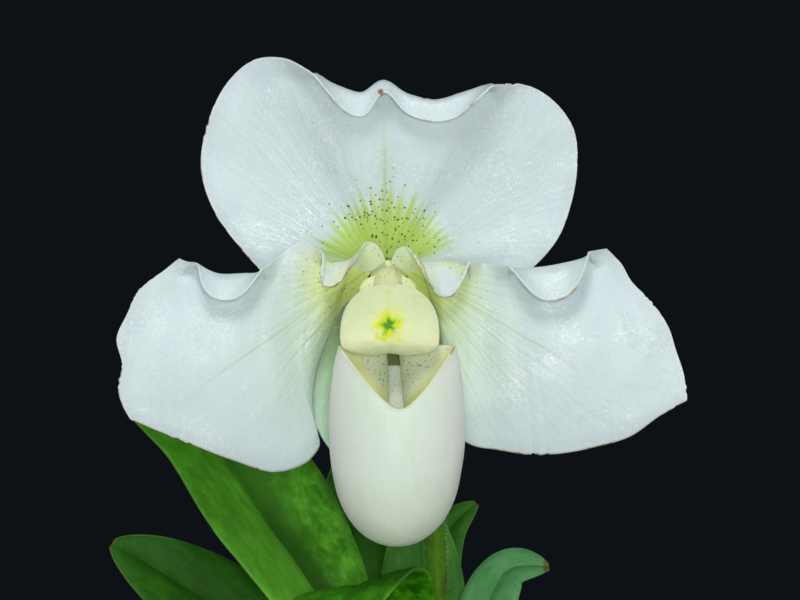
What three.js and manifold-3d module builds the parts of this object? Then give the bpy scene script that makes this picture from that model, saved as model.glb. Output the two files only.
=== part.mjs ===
// A potted slipper orchid, Paphiopedilum: one white flower on a short hairy stem above a clump
// of mottled strap leaves, in a plain clay pot of bark.
//
// Units are millimetres and +Z is up. The origin is the centre of the pot's flat underside.
// The flower looks along -Y, so +X is at the right hand of someone who looks into it.
//
// Every thin part (sepals, petals, leaves, lip) is a sheet: a grid of points on its middle
// surface, thickened along the surface normals. A sepal is a fan of lines from its claw to its
// margin. A petal is a row of lines across it, from its lower margin to its upper one. Either
// kind of line may roll over towards the front at its end.

import * as THREE from 'three';
import { mergeVertices } from 'three/addons/utils/BufferGeometryUtils.js';
import Module from 'manifold-3d';

const wasm = await Module();
wasm.setup();

// ---------------------------------------------------------------- driving dimensions

const GAP = 0.3; // clearance between pieces that touch on the plant

const POT = {
  height: 88, footRadius: 36, neckRadius: 45, rimRadius: 49.5, rimHeight: 19,
  wall: 4.5, floor: 5, drains: 4, drainRadius: 4, drainCircle: 20,
};
const MIX = { top: 76, chips: 44, seed: 11 };
const CROWN = {
  foot: 66, shoulder: 78, top: 84, footRadius: 9, topRadius: 5.2, roots: 4, rootRadius: 1.5,
};
const STEM = { footRadius: 1.8, topRadius: 1.5, socket: 5 };

const FLOWER = { x: -7.4, y: -27, z: 172 }; // where sepals, petals, lip and column meet
const TEPAL = { thickness: 0.7, rollShare: 0.65 };

const POUCH = {
  x: 1.4, front: 10.4, // its axis, from the flower's centre
  bottom: -42.6, waist: -24, halfWidth: 10.7, halfDepth: 9.8, power: 2.3,
  notch: -20.9, dip: -13, back: -6.1, wall: 0.8, // heights of the rim: front, behind the ears, back
};
const SHIELD = {
  x: 0.3, front: 13.7, z: -7.9, widest: -9.5, halfWidth: 7.75, above: 8, below: 3.2,
  dome: 1.2, edge: 0.45,
};

// ---------------------------------------------------------------- small maths

const rad = THREE.MathUtils.degToRad;
const lerp = THREE.MathUtils.lerp;
const smooth = (low, high, x) => THREE.MathUtils.smoothstep(x, low, high);
const vec = (x, y, z) => new THREE.Vector3(x, y, z);
const range = (count, make) => Array.from({ length: count }, (_, i) => make(i));

// Seeded random numbers from 0 to 1.
function seeded(seed) {
  let state = seed;
  return () => {
    state = (state * 1664525 + 1013904223) % 4294967296;
    return state / 4294967296;
  };
}

// One row of a table at a fractional index, by a Catmull-Rom spline through the rows.
function rowAt(rows, position) {
  const last = rows.length - 1;
  const i = Math.min(last - 1, Math.floor(position));
  const t = position - i;
  const [a, b, c, d] = [i - 1, i, i + 1, i + 2].map((k) => rows[Math.max(0, Math.min(last, k))]);
  return b.map((_, n) => 0.5 * (2 * b[n] + (c[n] - a[n]) * t
    + (2 * a[n] - 5 * b[n] + 4 * c[n] - d[n]) * t * t
    + (3 * b[n] - a[n] - 3 * c[n] + d[n]) * t * t * t));
}

// ---------------------------------------------------------------- closed meshes

function geometryOf(points, triangles) {
  const geometry = new THREE.BufferGeometry();
  const numbers = points.flatMap((p) => p.toArray());
  geometry.setAttribute('position', new THREE.Float32BufferAttribute(numbers, 3));
  geometry.setIndex(triangles.flat());
  return geometry;
}

// The unit normal at each point of a grid of points.
function gridNormals(grid) {
  const lastRow = grid.length - 1;
  const lastColumn = grid[0].length - 1;
  return grid.map((line, i) => line.map((_, j) => {
    const along = grid[Math.min(lastRow, i + 1)][j].clone().sub(grid[Math.max(0, i - 1)][j]);
    const across = line[Math.min(lastColumn, j + 1)].clone().sub(line[Math.max(0, j - 1)]);
    return along.cross(across).normalize();
  }));
}

// A closed solid around a grid of middle points. thickness(i, j) is measured along the normal.
function sheetGeometry(grid, thickness) {
  const normals = gridNormals(grid);
  const rows = grid.length;
  const columns = grid[0].length;
  const side = (sign) => grid.flatMap((line, i) => line.map((p, j) => (
    p.clone().addScaledVector(normals[i][j], sign * 0.5 * thickness(i, j)))));
  const points = [...side(1), ...side(-1)];
  const below = rows * columns;
  const at = (i, j) => i * columns + j;
  const triangles = [];
  for (let i = 0; i < rows - 1; i += 1) {
    for (let j = 0; j < columns - 1; j += 1) {
      const [a, b, c, d] = [at(i, j), at(i + 1, j), at(i + 1, j + 1), at(i, j + 1)];
      triangles.push([a, b, c], [a, c, d]);
      triangles.push([below + a, below + c, below + b], [below + a, below + d, below + c]);
    }
  }
  const wall = (a, b) => triangles.push([a, below + a, below + b], [a, below + b, b]);
  for (let i = 0; i < rows - 1; i += 1) {
    wall(at(i, 0), at(i + 1, 0));
    wall(at(i + 1, columns - 1), at(i, columns - 1));
  }
  for (let j = 0; j < columns - 1; j += 1) {
    wall(at(0, j + 1), at(0, j));
    wall(at(rows - 1, j), at(rows - 1, j + 1));
  }
  return geometryOf(points, triangles);
}

// A closed solid through rings of points, with a fan of triangles at each end.
function ringGeometry(rings) {
  const sides = rings[0].length;
  const points = rings.flat();
  const triangles = [];
  for (let i = 0; i < rings.length - 1; i += 1) {
    for (let j = 0; j < sides; j += 1) {
      const k = (j + 1) % sides;
      const [a, b, c, d] = [i * sides + j, i * sides + k, (i + 1) * sides + k, (i + 1) * sides + j];
      triangles.push([a, b, c], [a, c, d]);
    }
  }
  const centre = (ring) => ring.reduce((sum, p) => sum.add(p), vec(0, 0, 0)).divideScalar(sides);
  const first = points.push(centre(rings[0])) - 1;
  const last = points.push(centre(rings.at(-1))) - 1;
  const offset = (rings.length - 1) * sides;
  for (let j = 0; j < sides; j += 1) {
    const k = (j + 1) % sides;
    triangles.push([first, k, j], [last, offset + j, offset + k]);
  }
  return geometryOf(points, triangles);
}

// A tube along a curve; radius(t, angle) gives its radius at a share t of the length.
function tubeGeometry(curve, steps, sides, radius) {
  const { normals, binormals } = curve.computeFrenetFrames(steps, false);
  return ringGeometry(range(steps + 1, (i) => range(sides, (j) => {
    const angle = (2 * Math.PI * j) / sides;
    const r = radius(i / steps, angle);
    return curve.getPointAt(i / steps)
      .addScaledVector(normals[i], r * Math.cos(angle))
      .addScaledVector(binormals[i], r * Math.sin(angle));
  })));
}

// ---------------------------------------------------------------- joining and cutting

function solidOf(geometry) {
  const plain = geometry.clone();
  plain.deleteAttribute('normal');
  plain.deleteAttribute('uv');
  const merged = mergeVertices(plain, 1e-4);
  return new wasm.Manifold(new wasm.Mesh({
    numProp: 3,
    vertProperties: new Float32Array(merged.attributes.position.array),
    triVerts: new Uint32Array(merged.index.array),
  }));
}

function geometryOfSolid(solid) {
  const mesh = solid.getMesh();
  const geometry = new THREE.BufferGeometry();
  geometry.setAttribute('position', new THREE.BufferAttribute(mesh.vertProperties, 3));
  geometry.setIndex(new THREE.BufferAttribute(mesh.triVerts, 1));
  return geometry;
}

const joined = (solids) => solids.reduce((all, next) => all.add(next));

// The largest of a solid's separate bodies: loose scraps of a cut are dropped.
function mainBody(solid) {
  return solid.decompose().reduce((best, body) => (body.volume() > best.volume() ? body : best));
}

// A solid of revolution about Z from a profile of [radius, height] pairs.
function turned(profile, segments) {
  const outline = profile.map(([r, z]) => new THREE.Vector2(r, z));
  return new THREE.LatheGeometry(outline, segments).rotateX(Math.PI / 2);
}

// ---------------------------------------------------------------- sepals and petals

// Flower coordinates: x to the right, f towards the front, z up, from the flower's centre.
const flowerPoint = (x, f, z) => vec(FLOWER.x + x, FLOWER.y - f, FLOWER.z + z);
const FRONT = vec(0, -1, 0);

// The path of a rolled margin as pairs of distance outwards and distance to the front.
function rollPath(angle, length, steps) {
  const fine = 6;
  const path = [[0, 0]];
  let [out, front] = [0, 0];
  for (let i = 0; i < steps * fine; i += 1) {
    const turn = rad(angle) * smooth(0, TEPAL.rollShare, (i + 0.5) / (steps * fine));
    out += (Math.cos(turn) * length) / (steps * fine);
    front += (Math.sin(turn) * length) / (steps * fine);
    if ((i + 1) % fine === 0) path.push([out, front]);
  }
  return path;
}

// The end of a line on a sepal or petal: it rises to its crest and rolls over to the front. The
// first point is where the roll starts.
function rolledEnd(crest, tangent, roll, lap, steps) {
  const front = FRONT.clone().addScaledVector(tangent, -FRONT.dot(tangent)).normalize();
  const path = rollPath(roll, lap, steps);
  const reach = Math.max(...path.map(([out]) => out));
  return path.map(([out, forward]) => (
    crest.clone().addScaledVector(tangent, out - reach).addScaledVector(front, forward)));
}

// A sepal: lines fan out from its claw. A row says where a line's crest is seen from the front
// and how it rolls: x, z, heading in degrees, depth, roll in degrees, and the length that rolls.
// sag is how far a line's middle lies before its chord, as a share of the chord.
function sepalGeometry({ rows, claw, sag, columns, flatSteps, rollSteps }) {
  return sheetGeometry(range(columns + 1, (j) => {
    const share = j / columns;
    const [x, z, heading, depth, roll, lap] = rowAt(rows, share * (rows.length - 1));
    const root = claw(share);
    const crest = flowerPoint(x, depth, z);
    const chord = crest.distanceTo(root);
    const outward = vec(Math.cos(rad(heading)), 0, Math.sin(rad(heading)));
    const tangent = outward.addScaledVector(FRONT, -2 * sag).normalize();
    const rolled = rolledEnd(crest, tangent, roll, lap, rollSteps);
    const leave = root.clone().lerp(crest, 0.35).addScaledVector(FRONT, sag * chord);
    const arrive = rolled[0].clone().addScaledVector(tangent, -0.3 * Math.max(0, chord - 5));
    const curve = new THREE.CubicBezierCurve3(root, leave, arrive, rolled[0]);
    return [...range(flatSteps, (i) => curve.getPoint(i / flatSteps)), ...rolled];
  }), () => TEPAL.thickness);
}

// A petal: lines across it, from the claw outwards. A row holds the line's lower end (x, z,
// depth), its crest (x, z, depth), how far its middle bows out to the side, roll and lap.
// edge holds what the outermost line adds to that bow, from its lower end to its upper one.
function petalGeometry({ rows, side, edge, camber, columns, flatSteps, rollSteps }) {
  return sheetGeometry(range(columns + 1, (j) => {
    const share = j / columns;
    const row = rowAt(rows, share * (rows.length - 1));
    const [lowX, lowZ, lowDepth, highX, highZ, highDepth, bow, roll, lap] = row;
    const low = flowerPoint(side * lowX, lowDepth, lowZ);
    const crest = flowerPoint(side * highX, highDepth, highZ);
    const chord = crest.distanceTo(low);
    const bend = vec(side * bow, 0, 0).addScaledVector(FRONT, camber * chord * Math.min(1, 3 * share));
    const tangent = crest.clone().sub(low).addScaledVector(bend, -4).normalize();
    const rolled = rolledEnd(crest, tangent, roll, lap, rollSteps);
    const leave = low.clone().lerp(crest, 1 / 3).addScaledVector(bend, 4 / 3);
    const arrive = rolled[0].clone().addScaledVector(tangent, -chord / 3);
    const curve = new THREE.CubicBezierCurve3(low, leave, arrive, rolled[0]);
    const flat = range(flatSteps, (i) => {
      const along = rowAt(edge.map((offset) => [offset]), (i / flatSteps) * (edge.length - 1));
      const p = curve.getPoint(i / flatSteps);
      p.x += side * along[0] * smooth(0.8, 1, share);
      return p;
    });
    return [...flat, ...rolled];
  }), () => TEPAL.thickness);
}

// Lines from the lower left corner over the top to the lower right corner.
const DORSAL_LINES = [
  [-19.2, -0.6, 190, -2.2, 0, 3],
  [-23.6, 4.2, 177, -1.8, 0, 3],
  [-27.9, 10.2, 165, -1.4, 0, 3],
  [-30.0, 17.0, 152, -0.8, 0, 3],
  [-29.0, 23.9, 142, 0, 0, 3],
  [-26.2, 30.0, 132, 1.0, 0, 3.5],
  [-21.9, 34.0, 121, 2.2, 0, 4],
  [-17.2, 34.6, 111, 3.4, 15, 5],
  [-12.6, 32.6, 105, 4.6, 70, 5.5],
  [-8.2, 29.8, 100, 5.2, 145, 6.6],
  [-4.2, 28.6, 95, 5.2, 165, 6.2],
  [-0.6, 30.6, 90, 4.8, 125, 5.6],
  [3.0, 28.3, 86, 5.2, 150, 5.4],
  [7.2, 27.5, 82, 5.4, 160, 6],
  [11.8, 28.7, 76, 5.4, 168, 6.9],
  [15.5, 29.9, 70, 4.6, 115, 6.5],
  [18.8, 30.3, 63, 3.4, 40, 5],
  [23.0, 29.9, 53, 2.4, 0, 4],
  [27.0, 27.2, 44, 1.4, 0, 3.5],
  [29.8, 23.0, 34, 0.2, 0, 3],
  [30.3, 17.4, 24, -0.8, 0, 3],
  [29.4, 11.6, 12, -1.6, 0, 3],
  [27.2, 5.8, 2, -2.0, 0, 3],
  [23.0, 1.0, -7, -2.4, 0, 3],
  [19.2, -0.8, -14, -2.4, 0, 3],
];

// Lines across the left petal; x counts away from the flower's middle.
const LEFT_LINES = [
  [3.3, -3.4, 0.4, 0.35, 2.2, 2.0, 1.6, 0, 1.2],
  [4.9, -3.6, 0.5, 1.5, 4.5, 2.8, 1.4, 0, 1.5],
  [6.9, -4.8, 0.6, 3.3, 5.1, 3.3, 1.0, 15, 2],
  [8.7, -7.6, 0.7, 4.7, 3.2, 3.6, 0.6, 140, 5.6],
  [10.4, -11.8, 0.8, 6.2, 2.1, 3.8, 0.6, 162, 7.6],
  [11.6, -16.0, 1.0, 8.0, 1.6, 3.6, 0.9, 165, 7.6],
  [12.0, -20.4, 1.2, 9.6, 1.6, 3.0, 1.5, 145, 6.9],
  [11.5, -24.6, 1.4, 11.3, 4.0, 1.6, 2.2, 30, 4],
  [11.0, -27.4, 1.5, 14.1, 5.2, 0.6, 2.0, 0, 3.5],
  [13.6, -30.2, 1.8, 17.2, 3.2, 1.4, 1.2, 5, 3.5],
  [18.6, -31.4, 2.0, 19.8, -0.1, 2.8, 0.9, 90, 6],
  [24.5, -29.6, 2.4, 23.0, -0.5, 3.6, 1.0, 160, 8],
  [30.0, -27.4, 3.0, 26.9, -0.4, 3.6, 2.2, 155, 8],
  [35.6, -25.2, 3.6, 30.4, 0.8, 3.0, 3.8, 95, 6],
  [41.0, -22.9, 4.2, 33.3, 2.5, 2.6, 6.0, 15, 3.5],
];
const LEFT_EDGE = [0, -0.2, -1.4, 0, -0.1, 0.6, 0];

const RIGHT_LINES = [
  [3.3, -3.4, 0.4, 0.35, 2.0, 2.0, 1.6, 0, 1.2],
  [5.0, -4.4, 0.5, 1.4, 4.0, 2.8, 1.4, 0, 1.5],
  [6.8, -6.6, 0.6, 3.1, 4.4, 3.3, 1.0, 15, 2],
  [8.1, -9.8, 0.7, 4.7, 2.4, 3.7, 0.6, 140, 5.8],
  [8.9, -13.2, 0.8, 6.1, 1.8, 4.0, 0.3, 163, 8.6],
  [9.6, -17.0, 1.0, 8.1, 1.7, 4.0, 0, 168, 9.8],
  [10.2, -21.0, 1.1, 10.2, 1.5, 3.5, 0.2, 165, 9.6],
  [10.8, -25.0, 1.3, 12.1, 1.0, 2.6, 0.4, 128, 6],
  [13.5, -27.2, 1.6, 14.4, 1.7, 1.6, 0, 15, 3.5],
  [18.0, -28.0, 2.0, 16.8, 1.4, 1.8, 0, 20, 4],
  [22.5, -28.6, 2.4, 19.6, 0.5, 2.8, 0, 100, 6.5],
  [27.5, -28.4, 2.8, 23.2, 0.5, 3.8, 0.3, 165, 10],
  [33.0, -27.4, 3.4, 27.4, 1.0, 3.8, 0.8, 165, 10],
  [38.5, -25.6, 4.0, 31.4, 2.2, 3.2, 1.5, 110, 7],
  [43.0, -22.4, 4.6, 33.6, 3.5, 2.8, 2.1, 40, 4.5],
  [47.4, -19.8, 5.0, 34.8, 4.1, 2.6, 2.8, 10, 3],
];
const RIGHT_EDGE = [0, 0, -0.2, 0.1, -0.3, -1.0, 0];

const SYNSEPAL_LINES = [
  [-9.6, -5.6, 196, -1.6, 0, 2],
  [-12.0, -12.5, 214, -1.2, 0, 2],
  [-12.4, -19.5, 232, -1.0, 0, 2],
  [-10.6, -26.0, 250, -1.4, 0, 2],
  [-6.4, -30.4, 260, -2.2, 0, 2],
  [0.2, -32.4, 270, -2.6, 0, 2],
  [6.8, -30.4, 280, -2.2, 0, 2],
  [10.8, -26.0, 290, -1.4, 0, 2],
  [12.2, -19.5, 308, -1.0, 0, 2],
  [11.6, -12.5, 326, -1.2, 0, 2],
  [9.2, -5.6, 344, -1.6, 0, 2],
];

function dorsalSepal() {
  const claw = (share) => (
    flowerPoint(lerp(-5, 5, share), -0.75, 1.7 + 0.8 * Math.sin(Math.PI * share)));
  return sepalGeometry({
    rows: DORSAL_LINES, claw, sag: -0.05, columns: 34, flatSteps: 5, rollSteps: 4,
  });
}

function synsepal() {
  const claw = (share) => (
    flowerPoint(lerp(-3.2, 3.2, share), -0.75, -3.7 - 0.4 * Math.sin(Math.PI * share)));
  return sepalGeometry({
    rows: SYNSEPAL_LINES, claw, sag: -0.12, columns: 12, flatSteps: 5, rollSteps: 1,
  });
}

function petal(rows, side, edge) {
  return petalGeometry({ rows, side, edge, camber: 0.06, columns: 34, flatSteps: 6, rollSteps: 4 });
}

// ---------------------------------------------------------------- the pouch-shaped lip

// The height of the rim at an angle round the pouch, where 0 is the front: a rounded V there,
// an ear at each side, a dip behind each ear, and a high back.
function rimHeight(angle) {
  const turn = Math.abs(angle) / Math.PI;
  const across = 9.6 * Math.sin(Math.PI * Math.min(turn, 0.5)) * Math.sign(angle) - 0.5;
  const slope = 1.22 + 0.09 * Math.sign(across);
  const front = POUCH.notch + slope * (Math.hypot(across, 1.6) - 1.6);
  const behind = lerp(front, POUCH.dip, smooth(0.5, 0.68, turn));
  return lerp(behind, POUCH.back, smooth(0.72, 1, turn));
}

// A point of the pouch: level 0 to 1 is the rounded bowl, 1 to 2 the wall up to the rim.
function pouchPoint(angle, level, inset) {
  const psi = (Math.PI / 2) * Math.min(1, level);
  const round = Math.sin(psi) ** (2 / POUCH.power);
  const drop = Math.cos(psi) ** (2 / POUCH.power);
  const height = POUCH.waist - POUCH.bottom - inset;
  const rise = Math.max(0, level - 1);
  const z = lerp(POUCH.waist - height * drop, rimHeight(angle), rise);
  const narrow = 1 - 0.11 * Math.max(0, (z - POUCH.waist) / 12) ** 2;
  const wide = (POUCH.halfWidth * narrow - inset) * round;
  const deep = (POUCH.halfDepth * narrow - inset) * round;
  return flowerPoint(POUCH.x + wide * Math.sin(angle), POUCH.front + deep * Math.cos(angle), z);
}

function pouchWall() {
  const sides = 28;
  const levels = [0.16, 0.34, 0.52, 0.68, 0.84, 1, 1.35, 1.7, 2];
  const points = [];
  const layer = (inset) => {
    const first = points.push(pouchPoint(0, 0, inset)) - 1;
    levels.forEach((level) => range(sides, (j) => (
      points.push(pouchPoint((2 * Math.PI * j) / sides - Math.PI, level, inset)))));
    return first;
  };
  const outer = layer(0);
  const inner = layer(POUCH.wall);
  const at = (first, i, j) => first + 1 + i * sides + (j % sides);
  const triangles = [];
  for (let j = 0; j < sides; j += 1) {
    triangles.push([outer, at(outer, 0, j + 1), at(outer, 0, j)]);
    triangles.push([inner, at(inner, 0, j), at(inner, 0, j + 1)]);
    for (let i = 0; i < levels.length - 1; i += 1) {
      const cell = (first) => (
        [at(first, i, j), at(first, i + 1, j), at(first, i + 1, j + 1), at(first, i, j + 1)]);
      const [a, b, c, d] = cell(outer);
      triangles.push([a, c, b], [a, d, c]);
      const [p, q, r, s] = cell(inner);
      triangles.push([p, q, r], [p, r, s]);
    }
    const rim = levels.length - 1;
    const [a, b] = [at(outer, rim, j), at(outer, rim, j + 1)];
    const [p, q] = [at(inner, rim, j), at(inner, rim, j + 1)];
    triangles.push([a, q, p], [a, b, q]);
  }
  return geometryOf(points, triangles);
}

// A plump side lobe: it turns in from the wall below the shield, and curls back at its end.
function sideLobe(side) {
  const grid = range(7, (i) => {
    const down = i / 6;
    const outer = side * lerp(9, 6.2, down ** 1.3);
    const inner = side < 0 ? -lerp(1.9, 1.6, down) : lerp(0.5, 1.6, down);
    return range(8, (j) => {
      const turn = rad(16 * j);
      const x = POUCH.x + lerp(outer, inner, Math.sin(turn));
      const z = lerp(-11.2, -20.9, down) - 0.5 * Math.sin(turn) * (2 * down - 1);
      return flowerPoint(x, 6.4 + 0.8 * down + 3.8 * Math.cos(turn), z);
    });
  });
  return sheetGeometry(grid, () => POUCH.wall);
}

// The strip behind the slot between the lobes. It joins their curled ends.
function tongue() {
  const grid = range(5, (i) => {
    const down = i / 4;
    return range(6, (j) => {
      const across = -1 + (2 * j) / 5;
      const x = POUCH.x - 0.3 + 0.35 * down + 2.3 * across;
      return flowerPoint(x, 5.6 + down + 0.5 * (1 - across ** 2), lerp(-14.4, -21.3, down));
    });
  });
  return sheetGeometry(grid, () => POUCH.wall);
}

function lip() {
  const parts = [pouchWall(), sideLobe(-1), sideLobe(1), tongue()];
  return geometryOfSolid(mainBody(joined(parts.map(solidOf))));
}

// ---------------------------------------------------------------- column, ovary, bract, stem

// The shield's outline: a broad arch with a flatter, slightly notched lower edge. It is scaled
// about the middle of the shield.
function shieldOutline(angle, scale) {
  const up = Math.cos(angle) > 0;
  const bent = (value) => Math.sign(value) * Math.abs(value) ** (up ? 2 / 2.3 : 2 / 3.4);
  const x = SHIELD.halfWidth * bent(Math.sin(angle));
  const z = (up ? SHIELD.above : SHIELD.below) * bent(Math.cos(angle));
  const notch = up ? 0 : 0.35 * Math.exp(-((x / 1.6) ** 2));
  return [x * scale, (z + notch + SHIELD.widest - SHIELD.z) * scale];
}

function shield() {
  const sides = 32;
  const rings = [
    [0.3, -0.9], [0.7, -0.9], [0.95, -0.7], [1, 0], [0.93, 0.45], [0.75, 0.8], [0.5, 1.0], [0.22, 1.1],
  ];
  return ringGeometry(rings.map(([scale, lift]) => range(sides, (j) => {
    const [x, z] = shieldOutline((-2 * Math.PI * j) / sides, scale);
    const dome = SHIELD.dome * (1 - scale ** 2);
    const bentBack = 0.5 * smooth(-2.2, -5.2, z) ** 2;
    return flowerPoint(SHIELD.x + x, SHIELD.front + dome + lift * SHIELD.edge - bentBack, SHIELD.z + z);
  })));
}

function ball(centre, radii, tilt) {
  const shape = new THREE.SphereGeometry(1, 10, 6).scale(...radii).rotateX(rad(tilt));
  return shape.translate(centre.x, centre.y, centre.z);
}

function column() {
  const stalk = new THREE.CatmullRomCurve3([
    flowerPoint(0, 0.6, -1), flowerPoint(0, 3, -1.5), flowerPoint(0.1, 7, -3.2),
    flowerPoint(0.2, 14.2, -6.7),
  ]);
  const style = new THREE.LineCurve3(flowerPoint(0, 5, -3), flowerPoint(0.1, 8.2, -8.2));
  return geometryOfSolid(joined([
    tubeGeometry(stalk, 8, 14, (t) => 2.4 - t),
    tubeGeometry(style, 2, 10, () => 1.2),
    ball(flowerPoint(0, 0.8, -0.6), [2.9, 0.8, 3], 0),
    ball(flowerPoint(0, 2.6, -2.2), [4.6, 1.2, 2.4], 0),
    ball(flowerPoint(0.1, 8.6, -8.8), [2.6, 2.6, 1.0], 32),
    ball(flowerPoint(-3.0, 6.4, -4.6), [1.7, 1.5, 1.5], 0),
    ball(flowerPoint(3.0, 6.4, -4.6), [1.7, 1.5, 1.5], 0),
    shield(),
  ].map(solidOf)));
}

// The stem rises from the crown, then the ovary arches over to the back of the flower.
const STEM_CURVE = new THREE.CatmullRomCurve3([
  vec(0.2, 0, CROWN.top - STEM.socket), vec(1.1, 0.8, 100), vec(0.8, 1.8, 117), vec(0.2, 1.6, 133),
  vec(-1.6, 0.2, 148.5),
]);
const OVARY_CURVE = new THREE.CatmullRomCurve3([
  vec(-1.7, 0.1, 149.2), vec(-3.4, -2, 158.5), vec(-5.6, -7.6, 166.6), vec(-7.1, -16.6, 170.5),
  vec(-7.4, -26.3, 171),
]);

const stemRadius = (t) => lerp(STEM.footRadius, STEM.topRadius, t);
const flowerStem = () => tubeGeometry(STEM_CURVE, 16, 12, stemRadius);

// Six rounded ribs run along the ovary, which is thickest a little before the flower.
function ovary() {
  return tubeGeometry(OVARY_CURVE, 14, 24, (t, angle) => {
    const swell = lerp(1.5, 2.6, smooth(0, 0.6, t)) - 0.7 * smooth(0.75, 1, t);
    return swell * (1 + 0.07 * Math.cos(6 * angle));
  });
}

// A small sheath that clasps the foot of the ovary and ends in a point at its back.
function bract() {
  const rows = 8;
  const grid = range(rows, (i) => {
    const t = i / (rows - 1);
    const centre = OVARY_CURVE.getPointAt(lerp(0.015, 0.42, t));
    const radius = lerp(2.3, 3.9, t);
    const halfAngle = rad(lerp(165, 6, t ** 1.6));
    return range(11, (j) => {
      const angle = lerp(-halfAngle, halfAngle, j / 10);
      const back = radius * Math.cos(angle);
      return centre.clone().add(vec(radius * Math.sin(angle), 0.9 * back, 0.5 * back));
    });
  });
  return sheetGeometry(grid, () => 0.6);
}

// ---------------------------------------------------------------- leaves

const RINGS = {
  inner: { radius: 4.0, height: CROWN.top + GAP, halfArc: 38 },
  outer: { radius: 6.6, height: CROWN.shoulder + GAP, halfArc: 30 },
};

// azimuth: where the leaf's foot stands round the crown, in degrees from +X.
// path: points of the midrib above the foot. face: where the upper side looks at a third, at two
// thirds and at the tip.
const LEAVES = {
  leaf_1: { // the big one, up and back to the left
    ring: 'outer', azimuth: 173, halfWidth: 13.2, fold: 26,
    path: [
      [-11.5, 0.2, 98], [-19.3, 1.5, 117.5], [-28.5, 7, 130.5], [-40, 14, 145.6], [-53.4, 20, 153.2],
    ],
    face: [[0.58, -0.81, 0.15], [0.5, -0.84, 0.22], [0.3, -0.84, 0.45]],
  },
  leaf_2: { // low to the left
    ring: 'outer', azimuth: 110, halfWidth: 9.5, fold: 18,
    path: [[-9, 12, 93], [-22, 17.5, 104.2], [-38, 20, 114.9], [-47, 20.5, 120.4], [-55.4, 20, 125.8]],
    face: [[0.3, -0.9, 0.3], [0.25, -0.9, 0.35], [0.1, -0.85, 0.5]],
  },
  leaf_3: { // arches over to the front left
    ring: 'inner', azimuth: 262, halfWidth: 12, fold: 3,
    path: [[-3, -7, 103], [-8.2, -12, 117], [-11.7, -20, 121.4], [-17, -32, 117], [-24, -43, 105]],
    face: [[0.2, 0.6, 0.7], [-0.26, 0.1, 1], [-0.3, -0.4, 0.9]],
  },
  leaf_4: { // dark, up behind the pouch to the left
    ring: 'inner', azimuth: 152, halfWidth: 7.5, fold: 14,
    path: [[-6.8, 10.9, 98], [-11.5, 19.5, 112], [-14, 23, 128], [-16, 24.5, 140]],
    face: [[0.5, -0.85, 0.1], [0.3, -0.9, 0.2], [0.2, -0.9, 0.3]],
  },
  leaf_5: { // upright right behind the stem
    ring: 'inner', azimuth: 72, halfWidth: 7.8, fold: 10,
    path: [[0, 6.8, 100], [-1.5, 8.4, 114], [-1.9, 8.8, 125], [-1.9, 9, 134]],
    face: [[0, -1, 0.1], [0, -1, 0.1], [0, -1, 0.15]],
  },
  leaf_6: { // short, at the back on the right
    ring: 'outer', azimuth: 48, halfWidth: 5.2, fold: 18,
    path: [
      [3.6, 12.4, 97], [0.6, 17.4, 110], [0.9, 18.6, 121.5], [3.3, 18.8, 128.5], [7.6, 18.8, 132.9],
    ],
    face: [[-0.4, -0.9, 0.1], [-0.2, -0.95, 0.3], [-0.1, -0.9, 0.4]],
  },
  leaf_7: { // out to the right
    ring: 'outer', azimuth: -14, halfWidth: 5.8, fold: 12,
    path: [[8.6, -1.4, 95], [8.9, -1, 109], [10, 0.6, 118.2], [13.2, 1.8, 122.7], [19.6, 2, 123.2]],
    face: [[-0.6, -0.75, 0.3], [-0.45, -0.8, 0.5], [-0.1, -0.8, 0.65]],
  },
  leaf_8: { // long, low to the front right
    ring: 'outer', azimuth: 284, halfWidth: 12.5, fold: 16,
    path: [[6.5, -13, 94], [18, -21, 105], [35, -30, 110], [52, -38, 105], [64, -43, 96]],
    face: [[-0.2, 0.7, 0.7], [-0.1, 0.1, 1], [0.35, -0.2, 0.9]],
  },
};

// The points of one leaf: rows along the midrib, columns from margin to margin.
function leafGrid({ ring, azimuth, halfWidth, fold, path, face }, rows, columns) {
  const { radius, height, halfArc } = RINGS[ring];
  const out = vec(Math.cos(rad(azimuth)), Math.sin(rad(azimuth)), 0);
  const foot = out.clone().multiplyScalar(radius).setZ(height);
  const rise = foot.clone().addScaledVector(out, 0.3).add(vec(0, 0, 5));
  const curve = new THREE.CatmullRomCurve3([foot, rise, ...path.map((p) => vec(...p))]);
  const looks = [out.clone().negate().toArray(), ...face.map((p) => vec(...p).normalize().toArray())];
  const footWidth = radius * rad(halfArc);
  return range(rows, (i) => {
    const share = i / (rows - 1);
    const t = share * (1.3 - 0.3 * share); // closer rows towards the tip
    const middle = curve.getPointAt(t);
    const along = curve.getTangentAt(t);
    const look = vec(...rowAt(looks, 3 * t));
    const up = look.addScaledVector(along, -look.dot(along)).normalize();
    const across = along.clone().cross(up);
    const blade = smooth(0.06, 0.7, t);
    const end = (1 - Math.max(0, (t - 0.5) / 0.505) ** 2.6) ** 0.62;
    const half = lerp(footWidth, halfWidth, blade) * end;
    const lift = rad(lerp(0, fold, blade));
    const bend = rad(lerp(halfArc, -0.5 * fold, blade));
    return range(columns, (j) => {
      const x = (2 * j) / (columns - 1) - 1;
      const s = Math.abs(x);
      const side = (half * (Math.sin(lift + bend * s) - Math.sin(lift))) / bend;
      const raise = (half * (Math.cos(lift) - Math.cos(lift + bend * s))) / bend;
      return middle.clone().addScaledVector(across, Math.sign(x) * side).addScaledVector(up, raise);
    });
  });
}

function leaf(shape) {
  const columns = 7;
  const middle = (columns - 1) / 2;
  return sheetGeometry(leafGrid(shape, 15, columns), (i, j) => 1.3 - 0.5 * Math.abs(j / middle - 1));
}

// ---------------------------------------------------------------- crown, potting mix, pot

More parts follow.
